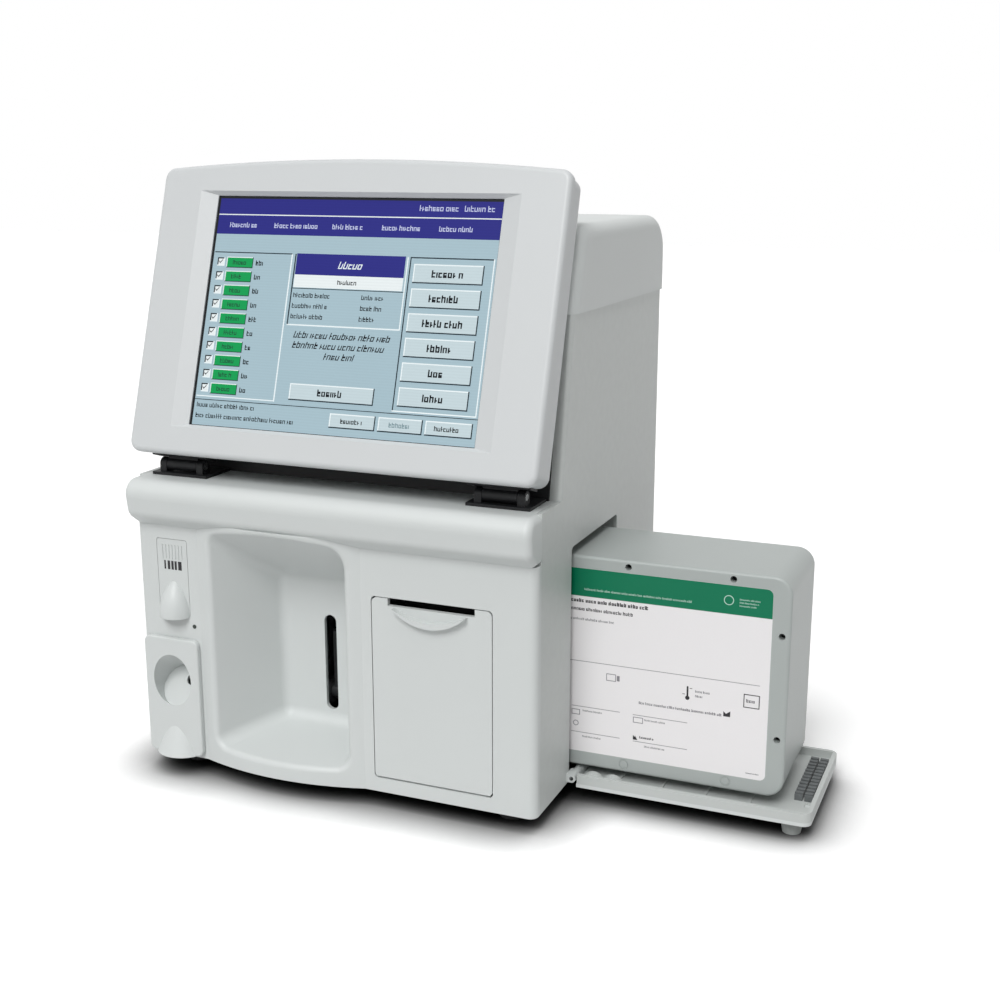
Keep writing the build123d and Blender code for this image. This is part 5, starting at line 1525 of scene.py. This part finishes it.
@dataclass
class Studio:
    """Floor, light, background and camera of the photograph.

    Places are millimetres and angles are degrees. The camera's place was worked out from the
    photograph and the object's sizes.
    """

    camera_place: tuple[float, float, float] = (442.9, -903.0, 416.8)
    azimuth: float = 22.41
    elevation: float = 13.83
    lens: float = 50.0
    floor_level: float = -12.0
    floor_half: float = 6000.0
    floor_colour: str = "#DADADA"
    floor_shown: float = 1.2
    # Reach and power of the painted contact shadow on the floor.
    painted_shadow_reach: float = 45.0
    painted_shadow_power: float = 2.0
    key_towards: tuple[float, float, float] = (0.0, -0.71, 0.70)
    key_strength: float = 1.95
    key_angle: float = 26.0
    top_towards: tuple[float, float, float] = (0.0, -0.12, 0.99)
    top_strength: float = 0.85
    top_angle: float = 60.0
    ambient: float = 0.25

    def build(self) -> None:
        """Builds the studio and reports it."""
        self.build_floor()
        self.build_light()
        self.build_world()
        self.build_camera()
        LOG.info("studio with floor, two lamps, background and camera")

    def seen_directly(self, tree: bpy.types.NodeTree) -> bpy.types.NodeSocket:
        """Adds the test for rays that show the background as it is.

        Args:
            tree: the floor's or the world's node tree.

        Returns:
            A socket that is 1 for camera, mirror and glass rays, else 0.
        """
        path = add_node(tree, "ShaderNodeLightPath")
        pair = add_node(
            tree,
            "ShaderNodeMath",
            {"operation": "MAXIMUM"},
            {0: path.outputs["Is Camera Ray"], 1: path.outputs["Is Glossy Ray"]},
        )
        every = add_node(
            tree,
            "ShaderNodeMath",
            {"operation": "MAXIMUM"},
            {0: pair.outputs[0], 1: path.outputs["Is Transmission Ray"]},
        )
        return every.outputs[0]

    def build_floor(self) -> None:
        """Builds the pale floor, which looks white, keeps the lamps' shadow of the object and
        darkens near it with a painted contact shadow.
        """
        half, level = self.floor_half * MM, self.floor_level * MM
        data = bpy.data.meshes.new("studio_floor")
        sides = ((-half, -half), (half, -half), (half, half), (-half, half))
        corners = [(x, y, level) for x, y in sides]
        data.from_pydata(corners, [], [(0, 1, 2, 3)])
        floor = bpy.data.objects.new("studio_floor", data)
        bpy.context.scene.collection.objects.link(floor)
        material = bpy.data.materials.new("studio_floor_paper_matt")
        material.use_nodes = True
        tree = material.node_tree
        tree.nodes.clear()
        # Seen directly, the open floor is made just over white, and a painted contact shadow from
        # ambient occlusion darkens it where the object stands close.
        shown = (self.floor_shown, self.floor_shown, self.floor_shown, 1.0)
        settings = {"Distance": self.painted_shadow_reach * MM, "samples": 24}
        painted_contact_shadow = add_node(tree, "ShaderNodeAmbientOcclusion", settings)
        depth = add_node(
            tree,
            "ShaderNodeMath",
            {"operation": "POWER", 1: self.painted_shadow_power},
            {0: painted_contact_shadow.outputs["AO"]},
        )
        settings = {"data_type": "RGBA", MIX_FIRST: (0.0, 0.0, 0.0, 1.0), MIX_SECOND: shown}
        floor_with_painted_shadow = add_node(tree, "ShaderNodeMix", settings, {0: depth.outputs[0]})
        settings = {"data_type": "RGBA", MIX_FIRST: linear(self.floor_colour)}
        links = {0: self.seen_directly(tree), MIX_SECOND: floor_with_painted_shadow.outputs[MIX_RESULT]}
        tone = add_node(tree, "ShaderNodeMix", settings, links)
        matt = add_node(
            tree, "ShaderNodeBsdfDiffuse", links={"Color": tone.outputs[MIX_RESULT]}
        )
        add_node(tree, "ShaderNodeOutputMaterial", links={"Surface": matt.outputs["BSDF"]})
        data.materials.append(material)

    def build_light(self) -> None:
        """Builds the soft key light in front and the wide soft light above."""
        self.build_lamp("studio_key", self.key_strength, self.key_angle, self.key_towards)
        self.build_lamp("studio_top", self.top_strength, self.top_angle, self.top_towards)

    def build_lamp(
        self, name: str, strength: float, angle: float, towards: tuple[float, float, float]
    ) -> None:
        """Builds one distant soft lamp.

        Args:
            name: the lamp's name.
            strength: its strength.
            angle: how wide it looks, in degrees.
            towards: direction from the object to the lamp.
        """
        data = bpy.data.lights.new(name, "SUN")
        data.energy = strength
        data.angle = math.radians(angle)
        lamp = bpy.data.objects.new(name, data)
        lamp.rotation_euler = Vector(towards).to_track_quat("Z", "Y").to_euler()
        bpy.context.scene.collection.objects.link(lamp)

    def build_world(self) -> None:
        """Builds the even ambient light and the white background."""
        world = bpy.data.worlds.new("studio_world")
        world.use_nodes = True
        tree = world.node_tree
        tree.nodes.clear()
        strength = add_node(
            tree,
            "ShaderNodeMapRange",
            {"To Min": self.ambient, "To Max": 1.0},
            {"Value": self.seen_directly(tree)},
        )
        sky = add_node(
            tree,
            "ShaderNodeBackground",
            {"Color": (1, 1, 1, 1)},
            {"Strength": strength.outputs["Result"]},
        )
        add_node(tree, "ShaderNodeOutputWorld", links={"Surface": sky.outputs["Background"]})
        bpy.context.scene.world = world

    def build_camera(self) -> None:
        """Builds the camera at the photograph's place and angle."""
        data = bpy.data.cameras.new("studio_camera")
        data.lens = self.lens
        data.sensor_width = 36.0
        data.sensor_fit = "HORIZONTAL"
        data.clip_end = 50.0
        camera = bpy.data.objects.new("studio_camera", data)
        turn = Matrix.Rotation(math.radians(self.azimuth), 4, "Z")
        tip = Matrix.Rotation(math.radians(90 - self.elevation), 4, "X")
        camera.matrix_world = Matrix.Translation(Vector(self.camera_place) * MM) @ turn @ tip
        bpy.context.scene.collection.objects.link(camera)
        bpy.context.scene.camera = camera
        bpy.context.scene.view_settings.view_transform = "Standard"


def main() -> None:
    """Loads the frame, dresses it, adds the pieces and sets up the studio."""
    logging.basicConfig(level=logging.INFO, format="%(name)s: %(message)s")
    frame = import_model()
    bpy.context.view_layer.update()
    kinds = (
        Case,
        CodeReader,
        AmpouleDrawer,
        Sampler,
        Printer,
        Display,
        Cartridge,
        SideDoor,
        Electronics,
    )
    for kind in kinds:
        LOG.info("sub-assembly %s", kind.__name__)
        kind(frame["nodes"]).build()
    Studio().build()


if __name__ == "__main__":
    main()
